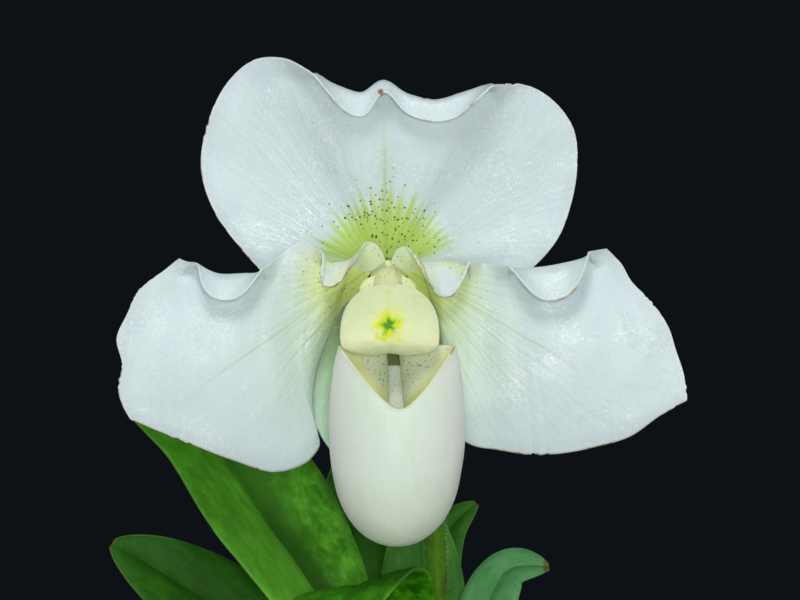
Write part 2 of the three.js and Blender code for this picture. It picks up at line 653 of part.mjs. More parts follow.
const ROOT_CURVES = range(CROWN.roots, (i) => {
  const angle = (2 * Math.PI * (i + 0.3)) / CROWN.roots;
  const at = (r, z, swing) => vec(r * Math.cos(angle + swing), r * Math.sin(angle + swing), z);
  const points = [at(5, 70, 0), at(13, 65, 0.15), at(20, 55, 0.35), at(23, 42, 0.6)];
  return new THREE.CatmullRomCurve3(points);
});

function crownSolid(grow) {
  const { foot, shoulder, top, footRadius, topRadius, rootRadius } = CROWN;
  const body = turned([
    [0, foot - grow], [footRadius * 0.8 + grow, foot - grow], [footRadius + grow, foot + 3],
    [footRadius + grow, shoulder - 1], [footRadius - 1 + grow, shoulder + grow],
    [topRadius + grow, shoulder + grow], [topRadius + grow, top + grow], [0, top + grow],
  ], 28);
  const roots = ROOT_CURVES.map((curve) => tubeGeometry(curve, 6, 6, () => rootRadius + grow));
  return joined([body, ...roots].map(solidOf));
}

function crown() {
  const socket = tubeGeometry(STEM_CURVE, 16, 12, (t) => stemRadius(t) + GAP);
  const depth = STEM.socket + GAP + 1;
  const well = new THREE.CylinderGeometry(2.6, 2.6, depth, 20).rotateX(Math.PI / 2);
  well.translate(0.2, 0, CROWN.top + 1 - depth / 2);
  return geometryOfSolid(mainBody(crownSolid(0).subtract(solidOf(well).add(solidOf(socket)))));
}

// The pot's inner radius at a height.
function potInside(z) {
  const outside = lerp(POT.footRadius, POT.neckRadius, z / (POT.height - POT.rimHeight));
  return outside - POT.wall;
}

function pottingMix() {
  const floor = POT.floor + GAP;
  const random = seeded(MIX.seed);
  const between = (low, high) => lerp(low, high, random());
  const body = turned([
    [0, floor], [potInside(floor) - GAP, floor], [potInside(MIX.top) - GAP, MIX.top], [0, MIX.top],
  ], 40);
  const chips = range(MIX.chips, (i) => {
    const [length, width, height] = [between(7, 14), between(5, 10), between(2.6, 5)];
    const chip = new THREE.BoxGeometry(length, width, height);
    chip.rotateX(between(-0.5, 0.5)).rotateY(between(-0.5, 0.5)).rotateZ(between(0, Math.PI));
    const distance = 13 + 21 * Math.sqrt((i + 0.5) / MIX.chips);
    const angle = 2.39996 * i;
    const level = MIX.top + between(-0.6, 1);
    return chip.translate(distance * Math.cos(angle), distance * Math.sin(angle), level);
  });
  const filled = joined([body, ...chips].map(solidOf));
  return geometryOfSolid(mainBody(filled.subtract(crownSolid(GAP))));
}

function pot() {
  const { height, footRadius, neckRadius, rimRadius, rimHeight: band, wall, floor } = POT;
  const neck = height - band;
  const shell = turned([
    [0, 0], [footRadius - 1, 0], [footRadius, 1], [neckRadius, neck], [rimRadius - 1, neck],
    [rimRadius, neck + 1], [rimRadius, height - 1.5], [rimRadius - 1.5, height],
    [potInside(height) + 0.8, height], [potInside(height), height - 0.8],
    [potInside(floor), floor], [0, floor],
  ], 48);
  const drains = range(POT.drains, (i) => {
    const angle = (2 * Math.PI * (i + 0.5)) / POT.drains;
    const hole = new THREE.CylinderGeometry(POT.drainRadius, POT.drainRadius, floor + 2, 20);
    hole.rotateX(Math.PI / 2);
    hole.translate(POT.drainCircle * Math.cos(angle), POT.drainCircle * Math.sin(angle), floor / 2);
    return solidOf(hole);
  });
  return geometryOfSolid(solidOf(shell).subtract(joined(drains)));
}

// ---------------------------------------------------------------- the plant

const look = (color, roughness) => new THREE.MeshStandardMaterial({ color, roughness, metalness: 0 });

const PETAL_WHITE = '#eef2ec';
const POUCH_CREAM = '#e3ebcf';
const COLUMN_CREAM = '#dfe8b8';
const STEM_OLIVE = '#6f7a3c';
const OVARY_GREEN = '#8a9a52';
const LEAF_GREEN = '#3f6b34';
const CROWN_GREEN = '#7b7f4a';
const BARK_BROWN = '#5a4030';
const CLAY = '#b5694a';

function piece(name, geometry, colour, roughness) {
  const mesh = new THREE.Mesh(geometry, look(colour, roughness));
  mesh.name = name;
  return mesh;
}

const orchid = new THREE.Group();
orchid.name = 'paphiopedilum_orchid';
orchid.add(
  piece('pot', pot(), CLAY, 0.85),
  piece('potting_mix', pottingMix(), BARK_BROWN, 0.95),
  piece('crown', crown(), CROWN_GREEN, 0.7),
  ...Object.entries(LEAVES).map(([name, shape]) => piece(name, leaf(shape), LEAF_GREEN, 0.45)),
  piece('flower_stem', flowerStem(), STEM_OLIVE, 0.7),
  piece('ovary', ovary(), OVARY_GREEN, 0.6),
  piece('bract', bract(), OVARY_GREEN, 0.6),
  piece('dorsal_sepal', dorsalSepal(), PETAL_WHITE, 0.45),
  piece('synsepal', synsepal(), PETAL_WHITE, 0.45),
  piece('petal_left', petal(LEFT_LINES, -1, LEFT_EDGE), PETAL_WHITE, 0.45),
  piece('petal_right', petal(RIGHT_LINES, 1, RIGHT_EDGE), PETAL_WHITE, 0.45),
  piece('lip_pouch', lip(), POUCH_CREAM, 0.4),
  piece('column', column(), COLUMN_CREAM, 0.45),
);

export default orchid;
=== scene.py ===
"""Looks of the potted slipper orchid: finer meshes over the CAD solids, procedural materials, light.

Lengths are in millimetres until a mesh is made. Flower coordinates are x to the right, f to the
front and z up, from the place where sepals, petals, lip and column meet.
"""
import math

import bpy
import numpy as np
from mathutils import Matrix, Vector


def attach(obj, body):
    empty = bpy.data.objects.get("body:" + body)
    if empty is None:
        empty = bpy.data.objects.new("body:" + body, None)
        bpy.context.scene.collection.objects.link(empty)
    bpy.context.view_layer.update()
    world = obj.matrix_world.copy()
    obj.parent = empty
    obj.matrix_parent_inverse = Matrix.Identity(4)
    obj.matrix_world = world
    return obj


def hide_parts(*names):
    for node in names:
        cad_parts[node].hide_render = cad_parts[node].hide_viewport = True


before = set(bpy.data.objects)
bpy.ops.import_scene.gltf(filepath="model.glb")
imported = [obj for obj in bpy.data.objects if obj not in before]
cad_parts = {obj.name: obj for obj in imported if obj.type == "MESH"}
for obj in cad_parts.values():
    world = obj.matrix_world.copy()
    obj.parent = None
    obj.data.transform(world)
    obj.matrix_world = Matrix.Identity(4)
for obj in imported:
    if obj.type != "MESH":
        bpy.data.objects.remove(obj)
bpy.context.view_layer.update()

MM = 0.001
# Millimetres to one unit of the pattern map.
UV_REACH = 100
FLOWER = np.array([-7.4, -27.0, 172.0])
FRONT = np.array([0.0, -1.0, 0.0])
TEPAL_THICKNESS = 0.7
MARGIN_THICKNESS = 0.30
ROLL_SHARE = 0.65
POUCH = dict(
    x=1.4, front=10.4, bottom=-42.6, waist=-24.0, half_width=10.7, half_depth=9.8, power=2.3,
    notch=-20.9, dip=-13.0, back=-6.1, wall=0.8,
)
SHIELD = dict(
    x=0.3, front=13.7, z=-7.9, widest=-9.5, half_width=7.75, above=8.0, below=3.2, dome=1.2, edge=0.45,
)
POT = dict(
    height=88.0, foot=36.0, neck=45.0, rim=49.5, band=19.0, wall=4.5, floor=5.0,
    drain_radius=4.0, drain_circle=20.0,
)
CROWN = dict(foot=66.0, shoulder=78.0, top=84.0, foot_radius=9.0, top_radius=5.2)
MIX_TOP = 76.0
CHIPS, CRUMBS, ROOTS, DRAINS = 44, 150, 4, 4
GAP = 0.3
# Radius at which a turned form starts and ends, and a distance at which no edge or rim shows.
NEAR_AXIS, FAR = 0.02, 9.0
HAIR_SPREAD = 0.22
HAIR_BEND = 0.14
GOLDEN_ANGLE = 2.39996


# ---------------------------------------------------------------- small maths


def smooth(low, high, x):
    t = np.clip((np.asarray(x, float) - low) / (high - low), 0, 1)
    return t * t * (3 - 2 * t)


def lerp(a, b, t):
    return a + (b - a) * t


def unit(v):
    return v / np.maximum(np.linalg.norm(v, axis=-1, keepdims=True), 1e-12)


def dot(a, b):
    return np.sum(a * b, axis=-1, keepdims=True)


def row_at(rows, position):
    """Rows of a table at fractional indices, by a Catmull-Rom spline through the rows."""
    rows = np.asarray(rows, float)
    last = len(rows) - 1
    i = np.clip(np.floor(position).astype(int), 0, last - 1)
    t = (position - i)[:, None]
    a, b, c, d = (rows[np.clip(i + k, 0, last)] for k in (-1, 0, 1, 2))
    return 0.5 * (
        2 * b + (c - a) * t + (2 * a - 5 * b + 4 * c - d) * t**2 + (3 * b - a - 3 * c + d) * t**3
    )


def waves(points, size, seed, count=14):
    """Smooth noise of about -1 to 1, as a sum of plane waves of about the given wavelength."""
    random = np.random.default_rng(seed)
    points = np.asarray(points, float)
    total = np.zeros(points.shape[:-1])
    for _ in range(count):
        heading = unit(random.normal(size=points.shape[-1]))
        length = size * random.uniform(0.7, 1.5)
        phase = random.uniform(0, math.tau)
        total += np.cos(points @ heading * (math.tau / length) + phase)
    return total / math.sqrt(count)


def flower_point(x, f, z):
    x, f, z = np.broadcast_arrays(*(np.asarray(v, float) for v in (x, f, z)))
    return FLOWER + np.stack([x, -f, z], axis=-1)


class Curve:
    """A centripetal Catmull-Rom curve, read by share of its length."""

    def __init__(self, points, samples=1500):
        p = np.asarray(points, float)
        p = np.vstack([2 * p[0] - p[1], p, 2 * p[-1] - p[-2]])
        t = np.linspace(0, len(p) - 3, samples)
        i = np.minimum(t.astype(int), len(p) - 4)
        w = (t - i)[:, None]
        x0, x1, x2, x3 = (p[i + k] for k in range(4))
        d0, d1, d2 = (np.sqrt(np.linalg.norm(b - a, axis=1))[:, None]
                      for a, b in ((x0, x1), (x1, x2), (x2, x3)))
        t1 = d1 * ((x1 - x0) / d0 - (x2 - x0) / (d0 + d1) + (x2 - x1) / d1)
        t2 = d1 * ((x2 - x1) / d1 - (x3 - x1) / (d1 + d2) + (x3 - x2) / d2)
        self.points = (x1 + t1 * w + (-3 * x1 + 3 * x2 - 2 * t1 - t2) * w**2
                       + (2 * x1 - 2 * x2 + t1 + t2) * w**3)
        steps = np.linalg.norm(np.diff(self.points, axis=0), axis=1)
        self.shares = np.concatenate([[0], np.cumsum(steps)])
        self.length = self.shares[-1]
        self.shares /= self.length

    def at(self, share):
        return np.stack([np.interp(share, self.shares, c) for c in self.points.T], axis=-1)

    def tangent(self, share):
        return unit(self.at(np.minimum(1, share + 0.002)) - self.at(np.maximum(0, share - 0.002)))

    def frames(self, share):
        """A normal and binormal at each share, turning no more than the curve does."""
        tangents = self.tangent(share)
        first = np.zeros(3)
        first[np.argmin(np.abs(tangents[0]))] = 1
        normal = np.cross(tangents[0], unit(np.cross(tangents[0], first)))
        normals = []
        for t in tangents:
            normal = unit(normal - t * np.dot(t, normal))
            normals.append(normal)
        normals = np.array(normals)
        return normals, np.cross(tangents, normals)


# ---------------------------------------------------------------- meshes


class Shell:
    """A closed surface: points, blocks of faces, a pattern map, and values kept at its points."""

    def __init__(self, points, faces, uv=None, material=0, **values):
        self.points = np.asarray(points, float)
        self.faces = faces
        self.uv = np.zeros((len(self.points), 2)) if uv is None else uv
        self.material = material
        self.values = values


def add_piece(name, nodes, shells, materials, sharp=None):
    """One mesh object from shells, riding on the root body and standing for the CAD nodes."""
    counts = [len(s.points) for s in shells]
    offsets = np.concatenate([[0], np.cumsum(counts)])[:-1]
    blocks = [(s, o, block) for s, o in zip(shells, offsets) for block in s.faces]
    corners = np.concatenate([(block + o).ravel() for _, o, block in blocks])
    sizes = np.concatenate([np.full(len(block), block.shape[1]) for _, _, block in blocks])
    kinds = np.concatenate([np.full(len(block), s.material) for s, _, block in blocks])
    mesh = bpy.data.meshes.new(name)
    mesh.vertices.add(sum(counts))
    mesh.vertices.foreach_set("co", np.concatenate([s.points for s in shells]).ravel() * MM)
    mesh.loops.add(len(corners))
    mesh.loops.foreach_set("vertex_index", corners.astype(np.int32))
    mesh.polygons.add(len(sizes))
    starts = np.concatenate([[0], np.cumsum(sizes)])[:-1]
    mesh.polygons.foreach_set("loop_start", starts.astype(np.int32))
    mesh.polygons.foreach_set("material_index", kinds.astype(np.int32))
    mesh.polygons.foreach_set("use_smooth", np.ones(len(sizes), bool))
    uv = np.concatenate([s.uv for s in shells])
    mesh.uv_layers.new(name="pattern").data.foreach_set("uv", uv[corners].ravel())
    for key in sorted({key for s in shells for key in s.values}):
        values = [np.broadcast_to(s.values.get(key, 0.0), (len(s.points),)) for s in shells]
        layer = mesh.attributes.new(key, "FLOAT", "POINT")
        layer.data.foreach_set("value", np.concatenate(values).astype(np.float32))
    mesh.update(calc_edges=True)
    mesh.validate()
    if sharp is not None:
        mesh.set_sharp_from_angle(angle=math.radians(sharp))
    for material in materials:
        mesh.materials.append(material)
    piece = bpy.data.objects.new(name, mesh)
    bpy.context.scene.collection.objects.link(piece)
    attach(piece, "root")
    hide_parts(*nodes)
    return piece


def grid_normals(grid):
    along = np.empty_like(grid)
    along[1:-1] = grid[2:] - grid[:-2]
    along[0], along[-1] = grid[1] - grid[0], grid[-1] - grid[-2]
    across = np.empty_like(grid)
    across[:, 1:-1] = grid[:, 2:] - grid[:, :-2]
    across[:, 0], across[:, -1] = grid[:, 1] - grid[:, 0], grid[:, -1] - grid[:, -2]
    return unit(np.cross(along, across))


def reach(grid, axis, backward=False):
    """Distance along the grid's lines from one of its sides."""
    steps = np.linalg.norm(np.diff(grid, axis=axis), axis=2)
    if backward:
        steps = np.flip(steps, axis)
    total = np.cumsum(steps, axis=axis)
    total = np.concatenate([np.zeros_like(np.take(total, [0], axis)), total], axis=axis)
    return np.flip(total, axis) if backward else total


def sheet(grid, thickness, uv, **values):
    """A closed shell around a grid of middle points."""
    normals = grid_normals(grid)
    rows, columns = grid.shape[:2]
    half = 0.5 * np.broadcast_to(thickness, (rows, columns))[..., None] * normals
    points = np.concatenate([(grid + half).reshape(-1, 3), (grid - half).reshape(-1, 3)])
    below = rows * columns
    index = np.arange(below).reshape(rows, columns)
    a, b = index[:-1, :-1].ravel(), index[1:, :-1].ravel()
    c, d = index[1:, 1:].ravel(), index[:-1, 1:].ravel()

    def wall(p, q):
        return np.stack([p, p + below, q + below, q], axis=1)

    faces = np.concatenate([
        np.stack([a, b, c, d], axis=1),
        np.stack([a, d, c, b], axis=1) + below,
        wall(index[:-1, 0], index[1:, 0]),
        wall(index[1:, -1], index[:-1, -1]),
        wall(index[0, 1:], index[0, :-1]),
        wall(index[-1, :-1], index[-1, 1:]),
    ])
    flat = np.asarray(uv, float).reshape(-1, 2)
    kept = {k: np.tile(np.broadcast_to(v, (rows, columns)).ravel(), 2) for k, v in values.items()}
    kept["side"] = np.concatenate([np.ones(below), -np.ones(below)])
    return Shell(points, [faces], np.concatenate([flat, flat]), **kept)


def ring_shell(rings, uv=None, **values):
    """A closed shell through rings of points, with a fan of triangles at each end."""
    rows, sides = rings.shape[:2]
    points = np.concatenate([rings.reshape(-1, 3), rings[:1].mean(1), rings[-1:].mean(1)])
    index = np.arange(rows * sides).reshape(rows, sides)
    turn = np.roll(index, -1, axis=1)
    quads = np.stack([index[:-1], turn[:-1], turn[1:], index[1:]], axis=-1).reshape(-1, 4)
    first, last = np.full(sides, rows * sides), np.full(sides, rows * sides + 1)
    ends = np.concatenate([
        np.stack([first, turn[0], index[0]], axis=1), np.stack([last, index[-1], turn[-1]], axis=1),
    ])
    if uv is not None:
        uv = uv.reshape(-1, 2)
        uv = np.concatenate([uv, uv[:1], uv[-1:]])

    def at_points(v):
        v = np.broadcast_to(v, (rows, sides))
        return np.concatenate([v.ravel(), [v[0].mean(), v[-1].mean()]])

    return Shell(points, [quads, ends], uv, **{k: at_points(v) for k, v in values.items()})


def tube(curve, steps, sides, radius, **values):
    """A tube along a curve. radius is a function of share and angle."""
    share = np.linspace(0, 1, steps + 1)
    angle = np.linspace(0, math.tau, sides, endpoint=False)
    normals, binormals = curve.frames(share)
    t, a = np.meshgrid(share, angle, indexing="ij")
    r = np.broadcast_to(radius(t, a), t.shape)[..., None]
    rings = (curve.at(share)[:, None] + r * np.cos(a)[..., None] * normals[:, None]
             + r * np.sin(a)[..., None] * binormals[:, None])
    uv = np.stack([a / math.tau, t * curve.length / UV_REACH], axis=-1)
    return ring_shell(rings, uv, **values)


def ball(centre, radii, tilt=0.0, segments=28, rings=16, **values):
    lat = np.linspace(-math.pi / 2, math.pi / 2, rings + 2)[1:-1]
    lon = np.linspace(0, math.tau, segments, endpoint=False)
    la, lo = np.meshgrid(lat, lon, indexing="ij")
    p = np.stack([np.cos(la) * np.cos(lo), np.cos(la) * np.sin(lo), np.sin(la)], -1) * radii
    c, s = math.cos(math.radians(tilt)), math.sin(math.radians(tilt))
    p = np.stack([p[..., 0], c * p[..., 1] - s * p[..., 2], s * p[..., 1] + c * p[..., 2]], -1)
    return ring_shell(p + centre, **values)


def hairs(roots, directions, lengths, radius, seed):
    """Fine tapering hairs as one shell: each has a three-sided foot, a bent middle and a tip."""
    random = np.random.default_rng(seed)
    n = len(roots)
    directions = unit(directions + random.normal(scale=HAIR_SPREAD, size=(n, 3)))
    side = unit(np.cross(directions, unit(random.normal(size=(n, 3)))))
    other = np.cross(directions, side)
    lengths = np.broadcast_to(lengths, (n,))[:, None]
    bend = side * random.normal(scale=HAIR_BEND, size=(n, 1)) * lengths
    levels = []
    for share, wide in ((-0.08, 1.0), (0.55, 0.75)):
        middle = roots + directions * lengths * share + bend * max(share, 0) ** 2
        for k in range(3):
            angle = math.tau * k / 3
            levels.append(middle + radius * wide * (math.cos(angle) * side + math.sin(angle) * other))
    levels.append(roots + directions * lengths + bend)
    points = np.stack(levels, axis=1)
    quads = [[k, (k + 1) % 3, 3 + (k + 1) % 3, 3 + k] for k in range(3)]
    tips = [[3 + k, 3 + (k + 1) % 3, 6] for k in range(3)] + [[2, 1, 0]]
    start = (np.arange(n) * 7)[:, None, None]
    return Shell(
        points.reshape(-1, 3),
        [(start + np.array(quads)).reshape(-1, 4), (start + np.array(tips)).reshape(-1, 3)],
        material=1,
    )


def scatter(shell, count, seed, keep=None):
    """Random places on a shell's quads, with the faces' outward normals, by area."""
    random = np.random.default_rng(seed)
    quads = np.concatenate([block for block in shell.faces if block.shape[1] == 4])
    corners = shell.points[quads]
    cross = np.cross(corners[:, 2] - corners[:, 0], corners[:, 3] - corners[:, 1])
    area = np.linalg.norm(cross, axis=1)
    if keep is not None:
        area = area * keep(corners.mean(axis=1), unit(cross))
    pick = random.choice(len(quads), count, p=area / area.sum())
    a, b = random.random((2, count, 1))
    chosen = corners[pick]
    place = lerp(lerp(chosen[:, 0], chosen[:, 1], a), lerp(chosen[:, 3], chosen[:, 2], a), b)
    return place, unit(cross[pick])


def coat(shell, count, lengths, radius, seeds, random, keep=None, lean=0):
    """Hairs all over a shell. seeds are those of their places and of their shapes."""
    roots, normals = scatter(shell, count, seeds[0], keep)
    return hairs(roots, normals + lean, random.uniform(*lengths, count), radius, seeds[1])


# ---------------------------------------------------------------- material nodes


class Value:
    """A node's output socket that can be used in sums."""

    def __init__(self, shade, socket):
        self.shade, self.socket = shade, socket

    def __add__(self, other):
        return self.shade.math("ADD", self, other)

    def __sub__(self, other):
        return self.shade.math("SUBTRACT", self, other)

    def __rsub__(self, other):
        return self.shade.math("SUBTRACT", other, self)

    def __mul__(self, other):
        return self.shade.math("MULTIPLY", self, other)

    def __truediv__(self, other):
        return self.shade.math("DIVIDE", self, other)

    def __abs__(self):
        return self.shade.math("ABSOLUTE", self)

    __radd__, __rmul__ = __add__, __mul__

    def step(self, low, high, to_low=0.0, to_high=1.0):
        """A smooth step between two levels; it falls where low is the larger one."""
        ends = {"From Min": low, "From Max": high, "To Min": to_low, "To Max": to_high}
        return self.shade.node(
            "ShaderNodeMapRange", {"Value": self, **ends}, interpolation_type="SMOOTHSTEP"
        )


class Shade:
    """A material, the colour painted on it so far, and short ways to add nodes.

    Lengths in it are in millimetres. Textures are read at the place in the row frame.
    """

    def __init__(self, name, **principled):
        self.material = bpy.data.materials.new(name)
        self.material.use_nodes = True
        self.tree = self.material.node_tree
        self.bsdf = self.tree.nodes["Principled BSDF"]
        self.colour = None
        for key, value in principled.items():
            self.put(self.bsdf.inputs[key.replace("_", " ")], value)
        metres = self.node("ShaderNodeTexCoord", {}, "Object")
        self.place = self.node("ShaderNodeVectorMath", {0: metres, "Scale": 1 / MM}, operation="SCALE")

    def put(self, socket, value):
        if isinstance(value, Value):
            self.tree.links.new(value.socket, socket)
        elif isinstance(value, (tuple, list)) and socket.type == "RGBA":
            socket.default_value = (*value, 1.0)
        else:
            socket.default_value = value

    def node(self, kind, inputs, output=0, **settings):
        made = self.tree.nodes.new(kind)
        for key, value in settings.items():
            setattr(made, key, value)
        for key, value in inputs.items():
            self.put(made.inputs[key], value)
        return Value(self, made.outputs[output])

    def math(self, operation, a, b=0.0):
        return self.node("ShaderNodeMath", {0: a, 1: b}, operation=operation)

    def mix(self, factor, a, b):
        return self.node("ShaderNodeMix", {0: factor, 6: a, 7: b}, 2, data_type="RGBA")

    def base(self, factor, a, b):
        self.colour = self.mix(factor, a, b)

    def paint(self, *layers):
        """Covers the colour so far by (mask, strength, colour) layers."""
        for mask, strength, colour in layers:
            self.colour = self.mix(mask * strength, self.colour, colour)

    def parts(self, vector=None):
        made = self.tree.nodes.new("ShaderNodeSeparateXYZ")
        self.put(made.inputs[0], vector or self.place)
        return [Value(self, made.outputs[k]) for k in range(3)]

    def vector(self, x, y, z=0.0):
        return self.node("ShaderNodeCombineXYZ", {0: x, 1: y, 2: z})

    def pattern(self):
        """The two coordinates of the pattern map."""
        return self.parts(self.node("ShaderNodeUVMap", {}, uv_map="pattern"))[:2]

    def value(self, name):
        return self.node("ShaderNodeAttribute", {}, "Fac", attribute_name=name)

    def from_flower(self, right, up):
        """How far a point is to the right of a place on the flower, and above it."""
        x, _, z = self.parts()
        return x - (FLOWER[0] + right), z - (FLOWER[2] + up)

    def hypot(self, a, b):
        return self.math("SQRT", a * a + b * b)

    def swing(self, angle):
        """From 1 to 0 and back as an angle goes round."""
        return self.math("COSINE", angle) * 0.5 + 0.5

    def noise(self, size, detail=2.0, roughness=0.5, at=None):
        inputs = {"Vector": at or self.place, "Scale": 1 / size}
        inputs |= {"Detail": detail, "Roughness": roughness}
        return self.node("ShaderNodeTexNoise", inputs, "Fac")

    def voronoi(self, size, output="Distance", feature="F1"):
        inputs = {"Vector": self.place, "Scale": 1 / size}
        return self.node("ShaderNodeTexVoronoi", inputs, output, feature=feature)

    def tiles(self, at, output, feature="F1"):
        """Flat voronoi cells about one unit wide."""
        inputs = {"Vector": at, "Scale": 1.0}
        return self.node(
            "ShaderNodeTexVoronoi", inputs, output, feature=feature, voronoi_dimensions="2D"
        )

    def random(self, value):
        """A random number from 0 to 1 for the nearest whole number."""
        whole = self.math("ROUND", value)
        return self.node("ShaderNodeTexWhiteNoise", {"W": whole}, 0, noise_dimensions="1D")

    def bump(self, *layers):
        """Relief from (height, millimetres) pairs."""
        below = {}
        for height, size in layers:
            inputs = {"Height": height, "Distance": size * MM, "Strength": 1.0, **below}
            below = {"Normal": self.node("ShaderNodeBump", inputs)}
        self.put(self.bsdf.inputs["Normal"], below["Normal"])

    def finish(self, roughness=None):
        self.put(self.bsdf.inputs["Base Color"], self.colour)
        if roughness is not None:
            self.put(self.bsdf.inputs["Roughness"], roughness)
        return self.material


# ---------------------------------------------------------------- materials

WHITE, WHITE_SHADE = (0.70, 0.82, 0.84), (0.62, 0.745, 0.755)
CREAM, LIME, LIME_DEEP = (0.74, 0.84, 0.60), (0.48, 0.67, 0.10), (0.33, 0.53, 0.035)
MAROON, NIBBLE, TAN = (0.10, 0.018, 0.025), (0.26, 0.11, 0.035), (0.50, 0.36, 0.17)
PAPER, PAINTED_GLINT = (0.84, 0.89, 0.88), (0.95, 1.0, 1.0)

# Marks on the flower: how far right of its middle and above it, in millimetres.
SCAR = (-1.15, 28.8)
STAIN = (10.1, -11.9)
STAR = (0.15, -7.9)
RING_MARK = (4.64, -4.0)
# How soft a spot's edge is, and the share of the way round the claw at the dorsal sepal's axis.
SPOT_BLUR = 0.04
DORSAL_AXIS = 0.458


def soft_skin(name, depth, weight=0.55):
    """A pale, slightly translucent skin: light spreads inside it."""
    return Shade(
        name, Subsurface_Weight=weight, Subsurface_Radius=(1.0, 1.0, 0.85),
        Subsurface_Scale=depth * MM, IOR=1.42,
    )


def freckles(shade, spacing, chance, size):
    """Round spots scattered without any rows: about one centre in each cell of that spacing."""
    distance = shade.voronoi(spacing) * spacing
    first, second, _ = shade.parts(shade.voronoi(spacing, "Color"))
    there = (first - chance).step(SPOT_BLUR, -SPOT_BLUR)
    radius = (second * 0.6 + 0.7) * size
    return (distance - radius).step(SPOT_BLUR, -SPOT_BLUR) * there


def margin(shade, edge, amount):
    """Brown, nibbled places along a margin, and a thin pale line along all of it."""
    patch = shade.noise(6.0, 3.0).step(0.57 - amount, 0.69 - amount)
    wide = shade.noise(0.9) * 0.55 - 0.13
    burnt = shade.mix(shade.noise(2.2).step(0.45, 0.62), TAN, NIBBLE)
    shade.paint(
        (edge.step(0.55, 0.1), 0.35, PAPER),
        ((edge - wide).step(0.08, -0.06) * patch, 0.9, burnt),
    )


def wetness(shade):
    return shade.noise(8.0).step(0.48, 0.66)


def skin_relief(shade, *layers):
    """Swells, grain and tiny cells. Gives the roughness, which is lower where the skin is wet."""
    cells = shade.voronoi(0.22, feature="SMOOTH_F1")
    wet = wetness(shade)
    swell, grain = shade.noise(3.4), shade.noise(0.55, 3.0)
    shade.bump((swell, 0.12), (grain, 0.045), (cells * (wet * 0.7 + 0.9), 0.034), *layers)
    return wet.step(0.0, 1.0, 0.42, 0.20)


def white_skin(name):
    """A white skin of tiny swollen cells, with painted glints on the brightest of them where the skin
    is wet: the shade, the share and the distance that its pattern map holds, and the distance from
    its edge. Both distances are in millimetres."""
    shade = soft_skin(name, 1.1)
    u, v = shade.pattern()
    # Painted glints: the brightest tiny cells are painted near white, more where the skin is wet.
    painted_glints = shade.parts(shade.voronoi(0.30, "Color"))[0].step(0.72, 0.92)
    shade.base(shade.noise(9.0, 3.0), WHITE_SHADE, WHITE)
    shade.paint(
        (shade.noise(0.42).step(0.35, 0.65), 0.10, (0.52, 0.63, 0.62)),
        (painted_glints, wetness(shade) * 0.38 + 0.07, PAINTED_GLINT),
    )
    return shade, u, v * UV_REACH, shade.value("edge")


def dorsal_material():
    """The pattern map holds the share of the way round the claw, and the distance from it."""
    shade, u, r, edge = white_skin("dorsal_sepal_skin")
    off = u - DORSAL_AXIS
    aside = abs(off * (r * 2.9 + 10))
    wobble = shade.noise(4.0) - 0.5
    along = u * 27 + wobble * 0.55
    streak = shade.swing(along * math.tau) * (shade.random(along) * 0.55 + 0.45)
    fine = shade.swing((u * 96 + wobble * 0.7) * math.tau)
    bell = shade.math("POWER", math.e, off * off * -18)
    near = 1 - r / (bell * 4.4 + 9.4)
    side = abs(off).step(0.47, 0.36)
    green = (near * 1.6 + streak * 0.46 + wobble * 0.30 - 0.32).step(0.0, 0.66)
    deep = (near + streak * 0.25 + wobble * 0.2).step(0.50, 1.15)
    chance = near.step(-0.22, 0.45, 0.0, 0.9) * side * bell.step(0.1, 0.8, 0.55, 1.0)
    crowd = aside.step(5.0, 0.5, 0.6, 1.0)
    dots = freckles(shade, 0.60, chance * (streak * 0.4 + 0.7) * crowd, 0.15)
    shade.paint(
        (fine * edge.step(1, 8), 0.10, (0.74, 0.80, 0.72)),
        (green * side, 0.92, LIME),
        (deep * side, 0.55, LIME_DEEP),
        (aside.step(0.55, 0.05) * r.step(31, 8), 0.45, LIME_DEEP),
        (aside.step(2.6, 0.3) * r.step(24, 8), 0.25, (0.45, 0.55, 0.16)),
        (dots, near.step(-0.2, 0.2, 0.35, 0.95), MAROON),
    )
    margin(shade, edge, 0.06)
    scar = shade.hypot(*shade.from_flower(*SCAR))
    shade.paint((scar.step(0.62, 0.25), 0.9, (0.30, 0.07, 0.02)))
    return shade.finish(skin_relief(shade, (streak, 0.02), (fine, 0.012)))


